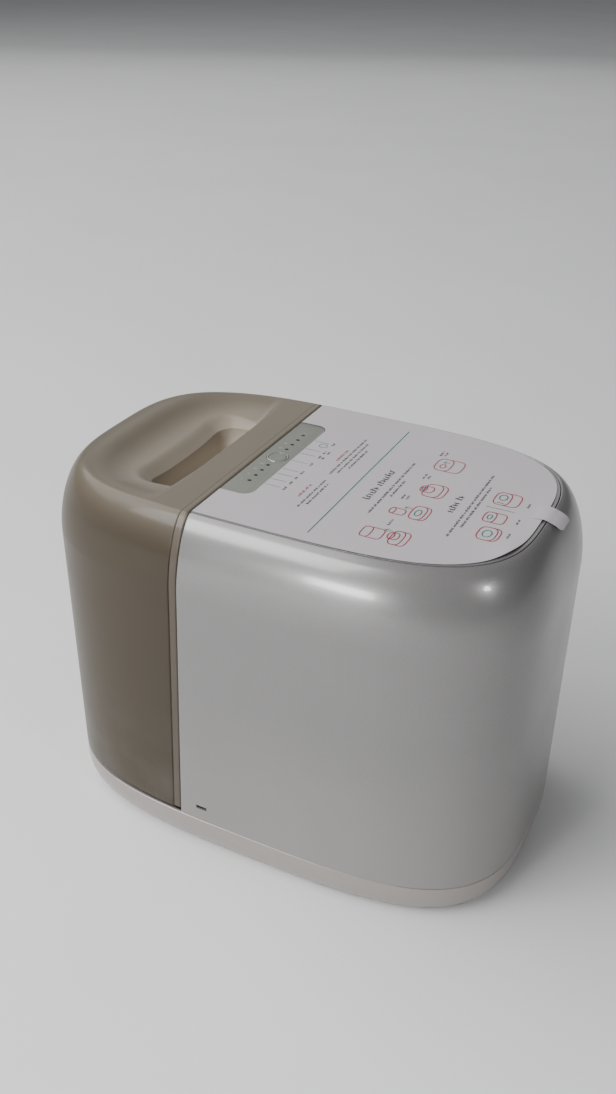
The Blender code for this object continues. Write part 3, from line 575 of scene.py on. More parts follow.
def make_tray():
    """Tray with a rolled hem, a softly rounded rim, the filter seat, the valve post and the float's guide."""
    hem = quarter(0, TRAY_BASE, HEM_IN, HEM_UP, 14)
    rim = [(0, TRAY_TOP - 0.8 * MM), (0.15 * MM, TRAY_TOP - 0.3 * MM), (0.6 * MM, TRAY_TOP),
           (WALL - 0.5 * MM, TRAY_TOP), (WALL, TRAY_TOP - 0.5 * MM)]
    inside = quarter(WALL, TRAY_FLOOR, BASIN_IN, BASIN_UP, 8)[::-1]
    tray = skin("tray_pan_moulding", [whole_ring(inset, z) for inset, z in hem + rim + inside])
    boolean(tray, rods("foot_recess", FEET, 10.3 * MM, -1 * MM, 2.5 * MM, 48))
    root = TRAY_FLOOR - 1 * MM
    inner, outer, top, bevel = 71 * MM, 74 * MM, 7 * MM, 0.6 * MM
    seat = [(inner, root), (outer, root), (outer, top - bevel), (outer - bevel, top), (inner + bevel, top),
            (inner, top - bevel)]
    boolean(tray, turned("seat", (FILTER_X, 0), seat), "UNION")
    for name, at, r, top, bevel, sides in (("post", (CAP_X, 0), 3 * MM, 9 * MM, 0.6 * MM, 40),
                                           ("guide", FLOAT_AT, 2 * MM, 34 * MM, 0.8 * MM, 32)):
        section = [(0, root), (r, root), (r, top - bevel), (r - bevel, top), (0, top)]
        boolean(tray, turned(name, at, section, sides), "UNION")
    finish_piece(tray, "tray", "tray", ["tray_pan"], even=True)


# ---- tank ---------------------------------------------------------------------------
DISH_X = (-154 * MM, -75 * MM)         # outer rim of the dish, and its straight side at the grip bar
DISH_MIDDLE_X = -88 * MM
DISH_HALF_Y = 92 * MM
DISH_POWER = 3.2
DISH_DEEP = 15 * MM
DISH_BLEND = 3 * MM                    # rounding where the dish meets the shoulder
DISH_ABOVE = 200 * MM                  # lower levels of the tank can't meet the dish
SEAM_CORNER = 1.2 * MM
SLOT_X = (-113 * MM, -76.5 * MM)
SLOT_MIDDLE_X = (SLOT_X[0] + SLOT_X[1]) / 2
SLOT_HALF_X = (SLOT_X[1] - SLOT_X[0]) / 2
SLOT_HALF_Y = 56 * MM
SLOT_CORNER = 14 * MM
SLOT_FLOOR = 252 * MM
SLOT_MOUTH = (11 * MM, 4.5 * MM)       # how far the slot's mouth rolls over, outer side and bar side
SLOT_ROLL = (11 * MM, 6 * MM)          # and how deep
UNDERCUT_X = -66 * MM                  # hollow behind the grip bar
UNDERCUT_TOP = 264 * MM
PLATE_EDGE_R = 3 * MM                  # back plate's top edge at the seam
SHELL_BACK = GAP / 2 + FLANGE
BASE_R = 2.5 * MM
NECK_R = 24.5 * MM
NECK_BORE_R = 21.5 * MM


def slot_distance(x, y):
    """Distance from the slot's outline in plan, negative inside it."""
    across = abs(x - SLOT_MIDDLE_X) - SLOT_HALF_X + SLOT_CORNER
    along = abs(y) - SLOT_HALF_Y + SLOT_CORNER
    outside = math.hypot(max(across, 0.0), max(along, 0.0))
    return outside + min(max(across, along), 0.0) - SLOT_CORNER


def dish_height(x, y, drop):
    """Height of the dish in the tank's top, lowered by drop for the inside of the wall."""
    side = DISH_X[0] if x < DISH_MIDDLE_X else DISH_X[1]
    half = abs(side - DISH_MIDDLE_X) + drop
    part = (abs(x - DISH_MIDDLE_X) / half) ** DISH_POWER + (abs(y) / (DISH_HALF_Y + drop)) ** DISH_POWER
    deep = DISH_DEEP * (1 - part ** (2 / DISH_POWER))
    near_bar = min(max((x - SLOT_X[0]) / (SLOT_X[1] - SLOT_X[0]), 0.0), 1.0)
    mouth, sink = [a + (b - a) * near_bar for a, b in (SLOT_MOUTH, SLOT_ROLL)]
    roll = min(max((mouth - slot_distance(x, y)) / (2 * mouth), 0.0), 1.0)
    return HEIGHT - drop - deep - sink * roll * roll * (3 - 2 * roll)


def dished(x, y, z, drop):
    """A point of the shoulder, brought down to the dish where that is lower, and rounded where they meet."""
    low = dish_height(x, y, drop)
    near = max(DISH_BLEND - abs(z - low), 0.0) / DISH_BLEND
    return x, y, min(z, low) - near * near * DISH_BLEND / 4


def tank_solid(name, offset, base, back, edge):
    """Solid of the tank's outer form, drawn in by offset, with the dish in its top."""
    levels = fillet_levels(base, BASE_R, offset) + shoulder(offset)
    rings = []
    for inset, z in levels:
        ring = half_ring(TANK, inset, z, back + top_fillet(z + offset, edge), SEAM_CORNER)
        rings.append([dished(*p, offset) if p[2] > DISH_ABOVE else p for p in ring])
    last = half_ring(TANK, *levels[-1], back + edge, SEAM_CORNER)
    centre = np.array((SLOT_MIDDLE_X, 0.0))
    count = 60
    for i in range(1, count):
        shrink = 1 - i / count
        ring = [(*(centre + (np.array((x, y)) - centre) * shrink), z) for x, y, z in last]
        rings.append([dished(*p, offset) for p in ring])
    return skin(name, rings)


def stadium(half_x, half_y, radius, at_x):
    """Rectangle with round corners, centred at at_x."""
    points = []
    for sx, sy, start in ((1, 1, 0), (-1, 1, 90), (-1, -1, 180), (1, -1, 270)):
        for i in range(15):
            turn = math.radians(start + 90 * i / 14)
            points.append((at_x + sx * (half_x - radius) + radius * math.cos(turn),
                           sy * (half_y - radius) + radius * math.sin(turn)))
    return points


def slot_cutter(name, grow):
    """Smooth solid of the finger slot and the hollow behind the grip bar."""
    rings = []
    for inset, rise in ((12, 0), (8, 1.2), (5, 3.2), (2.6, 7), (1, 13), (0, 22), (0, 46)):
        out = grow - inset * MM
        flat = stadium(SLOT_HALF_X + out, SLOT_HALF_Y + out, max(SLOT_CORNER + out, 5 * MM), SLOT_MIDDLE_X)
        rings.append([(x, y, SLOT_FLOOR - grow + rise * MM) for x, y in flat])
    cutter = skin(name, rings)
    left = SLOT_X[0] + 12 * MM
    hollow = stadium((UNDERCUT_X - left) / 2 + grow, SLOT_HALF_Y - 3 * MM + grow, 10 * MM + grow,
                     (UNDERCUT_X + left) / 2)
    boolean(cutter, prism("pocket", hollow, SLOT_FLOOR - grow, UNDERCUT_TOP + grow), "UNION")
    mod = cutter.modifiers.new("even", "REMESH")
    mod.mode = "VOXEL"
    mod.voxel_size = 1.1 * MM
    smooth = cutter.modifiers.new("soft", "SMOOTH")
    smooth.factor = 0.5
    smooth.iterations = 12
    apply_modifiers(cutter)
    return cutter


def make_tank():
    """Tank shell with its dish, finger slot and neck; its top meets the back plate flush."""
    hairline = 0.05 * MM
    shell = tank_solid("tank_shell_moulding", 0.0, TANK_BASE, SHELL_BACK + hairline, hairline)
    boolean(shell, slot_cutter("finger_slot", 0.0))
    water = tank_solid("water", WALL, TANK_BASE + WALL, -FLANGE, 0.5 * MM)
    boolean(water, slot_cutter("slot_skin", 2.6 * MM))
    boolean(shell, water)
    boolean(shell, rods("neck", [(CAP_X, 0)], NECK_R, 14 * MM, TANK_BASE + 1 * MM, 96), "UNION")
    boolean(shell, rods("neck_bore", [(CAP_X, 0)], NECK_BORE_R, 0, TANK_BASE + 6 * MM, 96))
    finish_piece(shell, "tank", "tank", ["tank_shell"], 38, True)


def make_back_plate():
    """Back plate of the tank; its rim lies a little inside the shell at the walls and comes flush on top."""
    near, far = GAP / 2, GAP / 2 + FLANGE - 0.1 * MM
    levels = fillet_levels(TANK_BASE, BASE_R, FLANGE_STEP)
    for i, (low, high) in enumerate(zip(shoulder(FLANGE_STEP), shoulder(0.01 * MM))):
        levels.append(tuple(a + (b - a) * i / SHOULDER_STEPS for a, b in zip(low, high)))
    outer = [half_ring(TANK, inset, z, near + top_fillet(z, PLATE_EDGE_R), 1.6 * MM) for inset, z in levels]
    plate = skin("tank_back_plate_moulding", outer)
    bm = bmesh.new()
    bmesh.ops.create_cube(bm, size=1.0)
    for vert in bm.verts:
        x = SEAM_TOP_X - far - 0.5 + vert.co.x
        vert.co = (x + SEAM_LEAN * (vert.co.z - HEIGHT), vert.co.y, vert.co.z)
    boolean(plate, add("behind_plate", mesh_from(bm, "behind_plate")))
    inset = WALL + FLANGE_STEP
    hollow = [half_ring(TANK, pull, z, near + WALL, 1.0 * MM)
              for pull, z in [(inset, TANK_BASE + WALL)] + shoulder(inset)]
    boolean(plate, skin("plate_hollow", hollow))
    finish_piece(plate, "tank_back", "tank", ["tank_back_plate"], 38, True)


# ---- fan housing --------------------------------------------------------------------
LATCH_X = (-40.5 * MM, -31.5 * MM)
LATCH_Z = (41.9 * MM, 45.1 * MM)
LATCH_WALL_Y = 116.7 * MM              # inner face of the front wall at the latch slot
OUTSIDE_Y = 130 * MM                   # where cutters end, clear of either long side
POSTS = [(146 * MM, 74 * MM), (146 * MM, -74 * MM), (-28 * MM, 96 * MM), (-28 * MM, -96 * MM)]
GRILLE_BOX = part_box("intake_grille")
INLET_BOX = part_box("power_inlet")
DECK_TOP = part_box("fan_deck")[1][2]


def fan_solid(name, offset, low, back, edge):
    """Solid of the fan housing's form, drawn in by offset, above the levels of its foot."""
    rings = []
    for inset, z in low + shoulder(offset):
        rings.append(half_ring(FAN, inset, z, back + top_fillet(z + offset, edge), 1.0 * MM))
    return skin(name, rings)


def make_body_shell():
    """Fan housing's shell with a rounded lip at the lid and every real opening."""
    shell = fan_solid("body_shell_moulding", 0.0, fillet_levels(TRAY_TOP + GAP, 0.6 * MM), GAP / 2, 0.8 * MM)
    room = fan_solid("room", WALL, [(WALL, TRAY_TOP - 5 * MM)], GAP / 2 + WALL, 0.1 * MM)
    boolean(room, rods("posts", POSTS, 5 * MM, DECK_TOP + GAP, HEIGHT))
    boolean(shell, room)
    boolean(shell, rods("post_holes", POSTS, 1.7 * MM, DECK_TOP - 5 * MM, DECK_TOP + 12 * MM))
    ledge = HEIGHT - LID_THICK - GAP
    flare = [(LID_EDGE, ledge), (LID_EDGE, HEIGHT - 1.2 * MM), (LID_EDGE - 0.2 * MM, HEIGHT - 0.5 * MM),
             (LID_EDGE - 0.8 * MM, HEIGHT - 0.12 * MM), (LID_EDGE - 1.4 * MM, HEIGHT + 1 * MM)]
    boolean(shell, skin("lid_recess", [whole_ring(i, z) for i, z in flare]))
    opening = [half_ring(FAN, LID_EDGE + 4 * MM, z, GAP / 2 + WALL, 1 * MM)
               for z in (ledge - 12 * MM, HEIGHT)]
    boolean(shell, skin("lid_opening", opening))
    latch = block("latch", (LATCH_X[0], -OUTSIDE_Y, LATCH_Z[0]), (LATCH_X[1], -110 * MM, LATCH_Z[1]))
    boolean(shell, latch)
    for name, (low, high), inner in (("grille_way", GRILLE_BOX, 90 * MM), ("inlet_way", INLET_BOX, 110 * MM)):
        way = block(name, (low[0] - GAP, inner, low[2] - GAP), (high[0] + GAP, OUTSIDE_Y, high[2] + GAP))
        boolean(shell, way)
    finish_piece(shell, "case", "housing", ["body_shell"], even=True)


def make_latch_shade_liner():
    """Dark liner in the small latch slot in the front wall, open to the front: painted shade that stands for
    the shade inside the slot.
    """
    x0, x1 = LATCH_X
    z0, z1 = LATCH_Z
    front, back, thin = -LATCH_WALL_Y - 1.9 * MM, -LATCH_WALL_Y + 4 * MM, 0.25 * MM
    # Painted shade: a dark box set into the slot, where there is only shade.
    pocket = block("latch_slot_painted_shade", (x0, front, z0), (x1, back, z1))
    way = block("latch_way", (x0 + thin, -OUTSIDE_Y, z0 + thin), (x1 - thin, back - 1 * MM, z1 - thin))
    boolean(pocket, way)
    finish_piece(pocket, "dark", "housing", [], sharp=None)


def make_grille():
    """Curved intake panel with level slots."""
    low, high = GRILLE_BOX
    sunk, bevel = 0.5 * MM, 0.4 * MM
    section = [(sunk + bevel, low[2]), (sunk, low[2] + bevel), (sunk, high[2] - bevel),
               (sunk + bevel, high[2]), (WALL, high[2]), (WALL, low[2])]
    panel = skin("intake_grille_panel", [whole_ring(i, z) for i, z in section], closed=True)
    boolean(panel, block("grille_part", (low[0], 90 * MM, 0), (high[0], OUTSIDE_Y, 300 * MM)), "INTERSECT")
    slot_long, slot_tall = 29.5 * MM, 4.4 * MM
    step_x, step_z = 31.2 * MM, 10 * MM
    slots = []
    for row in range(10):
        z = low[2] + 7 * MM + row * step_z
        for column in range(3):
            x = low[0] + 5.7 * MM + column * step_x
            slots.append(((x, 90 * MM, z), (x + slot_long, OUTSIDE_Y, z + slot_tall)))
    boolean(panel, boxes("slots", slots))
    finish_piece(panel, "case", "housing", ["intake_grille"])


def make_lid():
    """Top panel under the film, with the air outlet's slots."""
    low = HEIGHT - LID_THICK
    edge = LID_EDGE + GAP
    levels = [(edge, low), (edge, HEIGHT - 0.7 * MM), (edge + 0.2 * MM, HEIGHT - 0.2 * MM),
              (edge + 0.7 * MM, HEIGHT)]
    lid = skin("top_panel_moulding", [half_ring(FAN, i, z, GAP / 2, 0.6 * MM) for i, z in levels])
    outlet_x, outlet_r, half_slot = FILTER_X + 6 * MM, 64 * MM, 2.25 * MM
    slots = []
    for i in range(13):
        off = (i - 6) * 9 * MM
        half = 62 * MM * math.sqrt(1 - (off / outlet_r) ** 2)
        x = outlet_x + off
        slots.append(((x - half_slot, -half, low - 1 * MM), (x + half_slot, half, HEIGHT + 1 * MM)))
    boolean(lid, boxes("outlet", slots))
    boolean(lid, prism("strip_way", strip_outline(GAP), HEIGHT - 1.5 * MM, HEIGHT + 2 * MM))
    cut_control_holes(lid, low - 1 * MM, HEIGHT + 1 * MM)
    finish_piece(lid, "case", "housing", ["top_panel"], even=True)


# ---- controls -----------------------------------------------------------------------
BUTTON_X = -33 * MM
BUTTON_R = 6.4 * MM
RING_R = (6.7 * MM, 8 * MM)
RING_HOLE_R = 8.3 * MM
STRIP_EDGE_X = -22 * MM
STRIP_HALF_Y = 62 * MM
STRIP_CORNER = 8 * MM
DOT_Y = (-41.5 * MM, -32.5 * MM, -23.5 * MM, -14.5 * MM, 14.5 * MM, 23.5 * MM, 32.5 * MM, 41.5 * MM)
LENS_R = 1.3 * MM
LENS_HOLE_R = 1.5 * MM


def strip_outline(grow, left=SEAM_TOP_X - 15 * MM):
    """Control strip's outline: square where it meets the seam, round corners on the lid's side."""
    half_y = STRIP_HALF_Y + grow
    radius = STRIP_CORNER + grow
    points = [(left, half_y), (left, -half_y)]
    for side, start in ((-1, 270), (1, 0)):
        for i in range(19):
            turn = math.radians(start + 5 * i)
            points.append((STRIP_EDGE_X + grow - radius + radius * math.cos(turn),
                           side * (half_y - radius) + radius * math.sin(turn)))
    return points


def cut_control_holes(piece, low, high):
    """Cut the holes for the button's ring and the eight lights."""
    boolean(piece, rods("button_way", [(BUTTON_X, 0)], RING_HOLE_R, low, high, 64))
    boolean(piece, rods("dot_ways", [(BUTTON_X, y) for y in DOT_Y], LENS_HOLE_R, low, high, 24))


def make_strip():
    """Control strip with holes for the button and the lights."""
    left = seam_x(HEIGHT) + GAP / 2 + 0.1 * MM
    strip = prism("control_strip_inlay", strip_outline(0, left), HEIGHT - 1.2 * MM, HEIGHT, 0.25 * MM)
    cut_control_holes(strip, 200 * MM, 300 * MM)
    finish_piece(strip, "strip", "housing", ["control_strip"])


def make_button():
    """Squarish round button, slightly dished, inside its bright ring."""
    top = HEIGHT + 0.2 * MM
    low = HEIGHT - 3 * MM
    stem, stem_low = 2 * MM, 280.2 * MM
    r = BUTTON_R
    profile = [(0, top - 0.25 * MM), (r * 0.4, top - 0.2 * MM), (r * 0.75, top - 0.05 * MM),
               (r - 0.5 * MM, top), (r - 0.12 * MM, top - 0.15 * MM), (r, top - 0.5 * MM),
               (r, low), (stem, low), (stem, stem_low), (0, stem_low)]
    button = turned("setting_button_cap", (BUTTON_X, 0), profile)
    finish_piece(button, "strip", "button", ["setting_button"])
    inner, outer = RING_R
    rise = HEIGHT + 0.3 * MM
    base = HEIGHT - LID_THICK
    section = [(inner, base), (outer, base), (outer, rise - 0.4 * MM), (outer - 0.15 * MM, rise - 0.1 * MM),
               (outer - 0.45 * MM, rise), (inner + 0.45 * MM, rise), (inner + 0.12 * MM, rise - 0.12 * MM),
               (inner, rise - 0.45 * MM)]
    ring = turned("button_ring_trim", (BUTTON_X, 0), section)
    finish_piece(ring, "clear", "housing", ["button_ring"], 50)


def make_lights():
    """Unlit indicator lenses on their light guides."""
    for name, side in (("light_guide_front", -1), ("light_guide_back", 1)):
        low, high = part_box(name)
        guide = block(name + "_moulding", low, (high[0], high[1], low[2] + 2 * MM))
        foot = low[2] + 1 * MM
        lens = [(0, foot), (LENS_R, foot), (LENS_R, HEIGHT - 0.25 * MM),
                (LENS_R - 0.3 * MM, HEIGHT - 0.06 * MM), (0, HEIGHT)]
        for y in DOT_Y:
            if y * side > 0:
                boolean(guide, turned("pin", (BUTTON_X, y), lens, 32), "UNION")
        finish_piece(guide, "dot", "housing", [name])


# ---- guide film and its print -------------------------------------------------------
FILM_THICK = 0.25 * MM
FILM_REST = HEIGHT + GAP
FILM_TOP = FILM_REST + FILM_THICK
TAB_X = 158 * MM                       # where the tab starts, how long it is and where it bends down
TAB_LONG = 21.5 * MM
TAB_BEND_X = 166 * MM
TAB_Y = (-4 * MM, 15 * MM)
INK_LIFT = 0.02 * MM
INK_THICK = 0.04 * MM
DRAWN = 0.9 * MM                       # stroke width of the drawings


def hump(x, y, at, wide, tall):
    """Height of a soft rise round a place; the place and its sizes are in millimetres."""
    off_x, off_y = (x - at[0] * MM) / (wide[0] * MM), (y - at[1] * MM) / (wide[1] * MM)
    return tall * MM * math.exp(-off_x ** 2 - off_y ** 2)


def film_wave(x, y):
    """How far the film stands off the lid: soft waves, and a lifted ripple at its front corner."""
    soft = 0.10 * MM * (1 + math.sin(x * 55 + y * 21)) * (1 + math.cos(y * 48 - x * 17)) / 2
    return soft + hump(x, y, (158, -52), (9, 15), 1.1) + hump(x, y, (164, 4), (8, 30), 0.5)


def make_film():
    """Thin film over the lid, cut out round the strip."""
    stretch = (LENGTH / 2 - LID_EDGE - 3 * MM) / (LENGTH / 2 - LID_EDGE - 1 * MM)
    outline = half_ring(FAN, LID_EDGE + 1 * MM, HEIGHT, 0.2 * MM, 0.6 * MM, 220, 60)
    plan = [(x * stretch, y) for x, y, z in outline]
    middle = np.array((60 * MM, 0.0))
    count = 44
    top, bottom = [], []
    for i in range(count):
        part = 1 - (i / count) ** 1.15
        ring = [middle + (np.array(p) - middle) * part for p in plan]
        top.append([(x, y, FILM_TOP + film_wave(x, y)) for x, y in ring])
        bottom.append([(x, y, FILM_REST + film_wave(x, y)) for x, y in ring])
    film = skin("guide_film_sheet", bottom[::-1] + top)
    boolean(film, prism("notch", strip_outline(0.6 * MM), FILM_REST - 2 * MM, FILM_TOP + 4 * MM))
    finish_piece(film, "film", "housing", ["guide_film"])


def make_film_tab():
    """Tab with a round end that bends down over the housing's end."""
    along, across = 28, 12
    bm = bmesh.new()
    rows = []
    for i in range(along + 1):
        part = i / along
        x = TAB_X + TAB_LONG * part
        droop = max(0.0, (x - TAB_BEND_X) / (12.5 * MM))
        z = FILM_TOP + 0.7 * MM * math.sin(min(1.0, part * 1.6) * math.pi) - 4.2 * MM * droop ** 2.2
        round_off = max(0.0, (part - 0.86) / 0.14)
        trim = 3.2 * MM * (1 - math.sqrt(max(0.0, 1 - round_off ** 2)))
        row = []
        for k in range(across + 1):
            y = TAB_Y[0] + trim + (TAB_Y[1] - TAB_Y[0] - 2 * trim) * k / across
            curl = 0.35 * MM * math.sin(math.pi * k / across) * droop
            row.append(bm.verts.new((x, y, z + curl + 0.35 * MM)))
        rows.append(row)
    for near, after in zip(rows, rows[1:]):
        for k in range(across):
            bm.faces.new((near[k], after[k], after[k + 1], near[k + 1]))
    tab = add("guide_film_tab", mesh_from(bm, "guide_film_tab"))
    mod = tab.modifiers.new("thickness", "SOLIDIFY")
    mod.thickness = FILM_THICK
    mod.offset = 0
    apply_modifiers(tab)
    finish_piece(tab, "film", "housing", ())


class Print:
    """Shapes of one ink, as very thin solids just above a surface."""

    def __init__(self, level, wave=None):
        self.bm = bmesh.new()
        self.level = level
        self.wave = wave or (lambda x, y: 0.0)

    def pair(self, x, y):
        """Lower and upper point of the ink at a place on the surface."""
        z = self.level + self.wave(x, y)
        return [self.bm.verts.new((x, y, z + up)) for up in (0.0, INK_THICK)]

    def box(self, x0, x1, y0, y1):
        low, high = zip(*(self.pair(x, y) for x, y in ((x0, y0), (x1, y0), (x1, y1), (x0, y1))))
        self.bm.faces.new(low[::-1])
        self.bm.faces.new(high)
        for i in range(4):
            k = (i + 1) % 4
            self.bm.faces.new((low[i], low[k], high[k], high[i]))

    def stroke(self, points, width, closed=False):
        """A line of even width through the points."""
        pts = [np.array(p, dtype=float) for p in points]
        count = len(pts)
        rows = []
        for i, point in enumerate(pts):
            if closed:
                way = pts[(i + 1) % count] - pts[i - 1]
            else:
                way = pts[min(i + 1, count - 1)] - pts[max(i - 1, 0)]
            way = way / (np.linalg.norm(way) + 1e-12)
            side = np.array((-way[1], way[0])) * width / 2
            left, right = self.pair(*(point + side)), self.pair(*(point - side))
            rows.append((left[0], right[0], right[1], left[1]))
        pairs = list(zip(rows, rows[1:]))
        if closed:
            pairs.append((rows[-1], rows[0]))
        else:
            self.bm.faces.new(rows[0])
            self.bm.faces.new(rows[-1][::-1])
        for near, far in pairs:
            for i in range(4):
                k = (i + 1) % 4
                self.bm.faces.new((near[i], far[i], far[k], near[k]))

    def ring(self, x, y, r, width, count):
        """A circular line."""
        turns = (2 * math.pi * i / count for i in range(count))
        self.stroke([(x + r * math.cos(t), y + r * math.sin(t)) for t in turns], width, True)

    def rule(self, start, stop, width):
        """A long straight line in short steps, so that it follows the surface; all in millimetres."""
        start, stop = np.array(start) * MM, np.array(stop) * MM
        count = 40
        self.stroke([start + (stop - start) * i / count for i in range(count + 1)], width * MM)

    def text(self, x, y0, y1, size, seed):
        """A line of stand-in text in millimetres: words of small upright ticks that spell nothing."""
        x, y, y1, size = x * MM, y0 * MM, y1 * MM, size * MM
        heading = size > 3 * MM
        step = size * 0.62
        words = (4, 7, 3, 6, 9, 5, 2, 8)
        word = seed % len(words)
        tick = seed
        while y < y1 - step:
            for _ in range(words[word % len(words)]):
                if y > y1 - step:
                    break
                tall = size * (1.0 if tick * 5 % 7 < 2 else 0.72)
                thick = size * (0.25 if heading else 0.30 if tick % 3 else 0.44)
                self.box(x + size * 0.36 - tall, x + size * 0.36, y, y + thick)
                if tick % 4 != 1:
                    rung = size * (0.14 if heading else 0.22)
                    foot = x + size * (0.36, -0.30, 0.05)[tick % 3]
                    self.box(foot - rung, foot, y + thick + 0.01 * MM, y + step * 0.86)
                y += step
                tick += 1
            y += step * 0.9
            word += 1

    def piece(self, name, material_name, slot):
        finish_piece(add(name, mesh_from(self.bm, name)), material_name, "housing", (), sharp=None)


class Drawing:
    """Outlines on the film, placed in millimetres: u runs to the reader's right, v up."""

    def __init__(self, x, y, size, inks):
        self.x, self.y, self.size = x * MM, y * MM, size * MM
        self.inks = inks

    def line(self, tone, points, closed=False, width=DRAWN):
        placed = [(self.x - v * self.size, self.y + u * self.size) for u, v in points]
        self.inks[tone].stroke(placed, width, closed)

    def oval(self, tone, u, v, a, b, power=2.0):
        self.line(tone, superellipse(a, b, power, 0, 2 * math.pi, 41)[:-1] + (u, v), True)

    def tub(self, tone, u, v, a, b, tall, power=3.2, count=24):
        """A low rounded box seen from above its front."""
        self.oval(tone, u, v + tall, a, b, power)
        low = superellipse(a, b, power, math.pi, 2 * math.pi, count) + (u, v)
        self.line(tone, [(u - a, v + tall), *low, (u + a, v + tall)])

    def drum(self, tone, u, v, a, b, tall):
        """An upright round piece seen from above its front."""
        self.tub(tone, u, v, a, b, tall, 2.0, 20)

    def arrow(self, tone, u, v, tall):
        head = [(u - 0.12, v + tall - 0.14), (u, v + tall), (u + 0.12, v + tall - 0.14)]
        for points in ([(u, v), (u, v + tall)], head):
            self.line(tone, points, width=0.6 * MM)


# Each drawing: where its foot is, its size, and its outlines from the back forwards.
DRAWINGS = (
    (93, -69, 17, (("tub", "pink", 0, 0, 0.52, 0.24, 0.22), ("drum", "pink", 0.08, 0.28, 0.26, 0.12, 0.2),
                   ("tub", "pink", -0.05, 0.95, 0.40, 0.19, 0.48), ("arrow", "teal", 0.40, 0.55, 0.3))),
    (92, -33, 17, (("tub", "pink", 0.06, 0, 0.55, 0.28, 0.16), ("oval", "teal", 0.06, 0.16, 0.25, 0.12),
                   ("drum", "pink", -0.18, 0.72, 0.24, 0.11, 0.42), ("arrow", "teal", 0.26, 0.46, 0.34))),
    (90, 2, 17, (("tub", "pink", 0, 0, 0.56, 0.36, 0.20), ("drum", "pink", 0.02, 0.30, 0.26, 0.13, 0.30),
                 ("oval", "teal", 0.02, 0.60, 0.14, 0.06))),
    (88, 43, 17, (("tub", "pink", 0, 0, 0.56, 0.34, 0.50), ("oval", "pink", -0.14, 0.50, 0.18, 0.12),
                  ("arrow", "teal", 0.24, 0.30, 0.30))),
    (141, -37, 15, (("tub", "pink", 0, 0, 0.58, 0.40, 0.16), ("oval", "teal", 0, 0.16, 0.30, 0.20))),
    (140, -15, 15, (("tub", "pink", 0, 0, 0.46, 0.26, 0.46), ("oval", "teal", 0, 0.46, 0.20, 0.10))),
    (140, 13, 15, (("tub", "pink", 0, 0, 0.60, 0.36, 0.46), ("oval", "teal", 0.12, 0.46, 0.26, 0.18),
                   ("line", "pink", [(-0.42, 0.30), (-0.42, 0.62)]))),
)


def make_print():
    """Generic guide: callout lines, stand-in text, headings and plain outline drawings."""
    inks = {tone: Print(FILM_TOP + INK_LIFT, film_wave) for tone in ("pink", "teal", "dark")}
    pink, teal, dark = inks.values()
    tiny, small, medium, heading, thin = 1.7, 2.0, 2.3, 5.2, 0.45

    for i, y in enumerate((-42, -33, -24, -15.5, -1, 12.5, 21, 36)):
        teal.rule((-20.6, y), (-8.5, y), thin)
        dark.text(-5, y - 2.2, y + 3.0, small, i)
    teal.ring(-11 * MM, 31 * MM, 3 * MM, 0.6 * MM, 32)
    teal.rule((36, -89), (36, 84), 0.9)
    for row in ((8.5, -48, -28, medium, 1), (8.5, 13, 33, medium, 4)):
        pink.text(*row)
    for row in ((-2, 10.5, 15, small, 3), (-2, 19, 24, small, 5), (14.6, -61, -17, 1.9, 2),
                (18.6, -55, -22, 1.9, 3), (13, -8, 56, 1.9, 4), (17.2, -4, 50, 1.9, 5), (21.4, 6, 40, 1.9, 6),
                (51, -30, 20, heading, 3), (60, -47, 37, small, 1), (64.2, -19, 7, small, 6),
                (107.5, -21, 8, heading, 5), (116.8, -52, 44, small, 2), (121, -37, 26, small, 7)):
        dark.text(*row)
    for x, y, size, parts in DRAWINGS:
        drawing = Drawing(x, y, size, inks)
        for kind, *how in parts:
            getattr(drawing, kind)(*how)
    for i, (x, y) in enumerate(((78, -56), (72, -19), (74, 16), (72, 56))):
        dark.text(x, y, y + 9, tiny, i)
        if i:
            dark.text(x + 3.2, y + 1, y + 8, tiny, i + 3)
    dark.rule((126, -1.9), (146, -1.9), thin)
    for i, y in enumerate((-38, -17, 8)):
        dark.text(152, y, y + 8, tiny, i + 1)
    for tone, ink_print in inks.items():
        ink_print.piece("guide_print_" + tone, "ink_" + tone, "film")


def make_strip_marks():
    """Small pale symbols beside the lights: bars in rising number, and two rings."""
    marks = Print(HEIGHT + INK_LIFT)
    thin = 0.28 * MM
    for i, y in enumerate(DOT_Y[:4]):
        for k in range(i + 1):
            x = -39.4 * MM + k * 0.9 * MM
            marks.box(x, x + thin, y - 1.1 * MM, y + 1.1 * MM)
    for y in DOT_Y[4:6]:
        marks.ring(-38.4 * MM, y, 0.9 * MM, thin, 20)
    marks.piece("strip_symbols", "mark", "strip")


# ---- filter -------------------------------------------------------------------------
def make_wick():
    """Pleated wick between its end rings."""
    low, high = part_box("wick_filter")
    outer, inner, thick = (high[0] - low[0]) / 2 - 0.2 * MM, 62.5 * MM, 4.5 * MM
    pleats, per_pleat = 60, 8
    rings = []
    for pull, z in ((0, low[2]), (0, high[2]), (thick, high[2]), (thick, low[2])):
        ring = []
        for i in range(pleats * per_pleat):
            turn = 2 * math.pi * i / (pleats * per_pleat)
            fold = (0.5 + 0.5 * math.cos(pleats * turn)) ** 0.7
            r = inner + thick + (outer - inner - thick) * fold - pull
            ring.append((FILTER_X + r * math.cos(turn), r * math.sin(turn), z))
        rings.append(ring)
    wick = skin("wick_filter_pleats", rings, closed=True)
    finish_piece(wick, "wick", "filter", ["wick_filter"], 50)


def finish_frame_nodes():
    """Better materials on every CAD node that stays in view."""
    slots = {row["node"]: row["material_slot"] for row in frame["record"]["subparts"]}
    for name, obj in frame["nodes"].items():
        obj.data.materials.clear()
        obj.data.materials.append(MATERIALS[slots[name]])


# ---- stage --------------------------------------------------------------------------
FLOOR_HALF = 18.0                      # metres, so that its end stays out of view


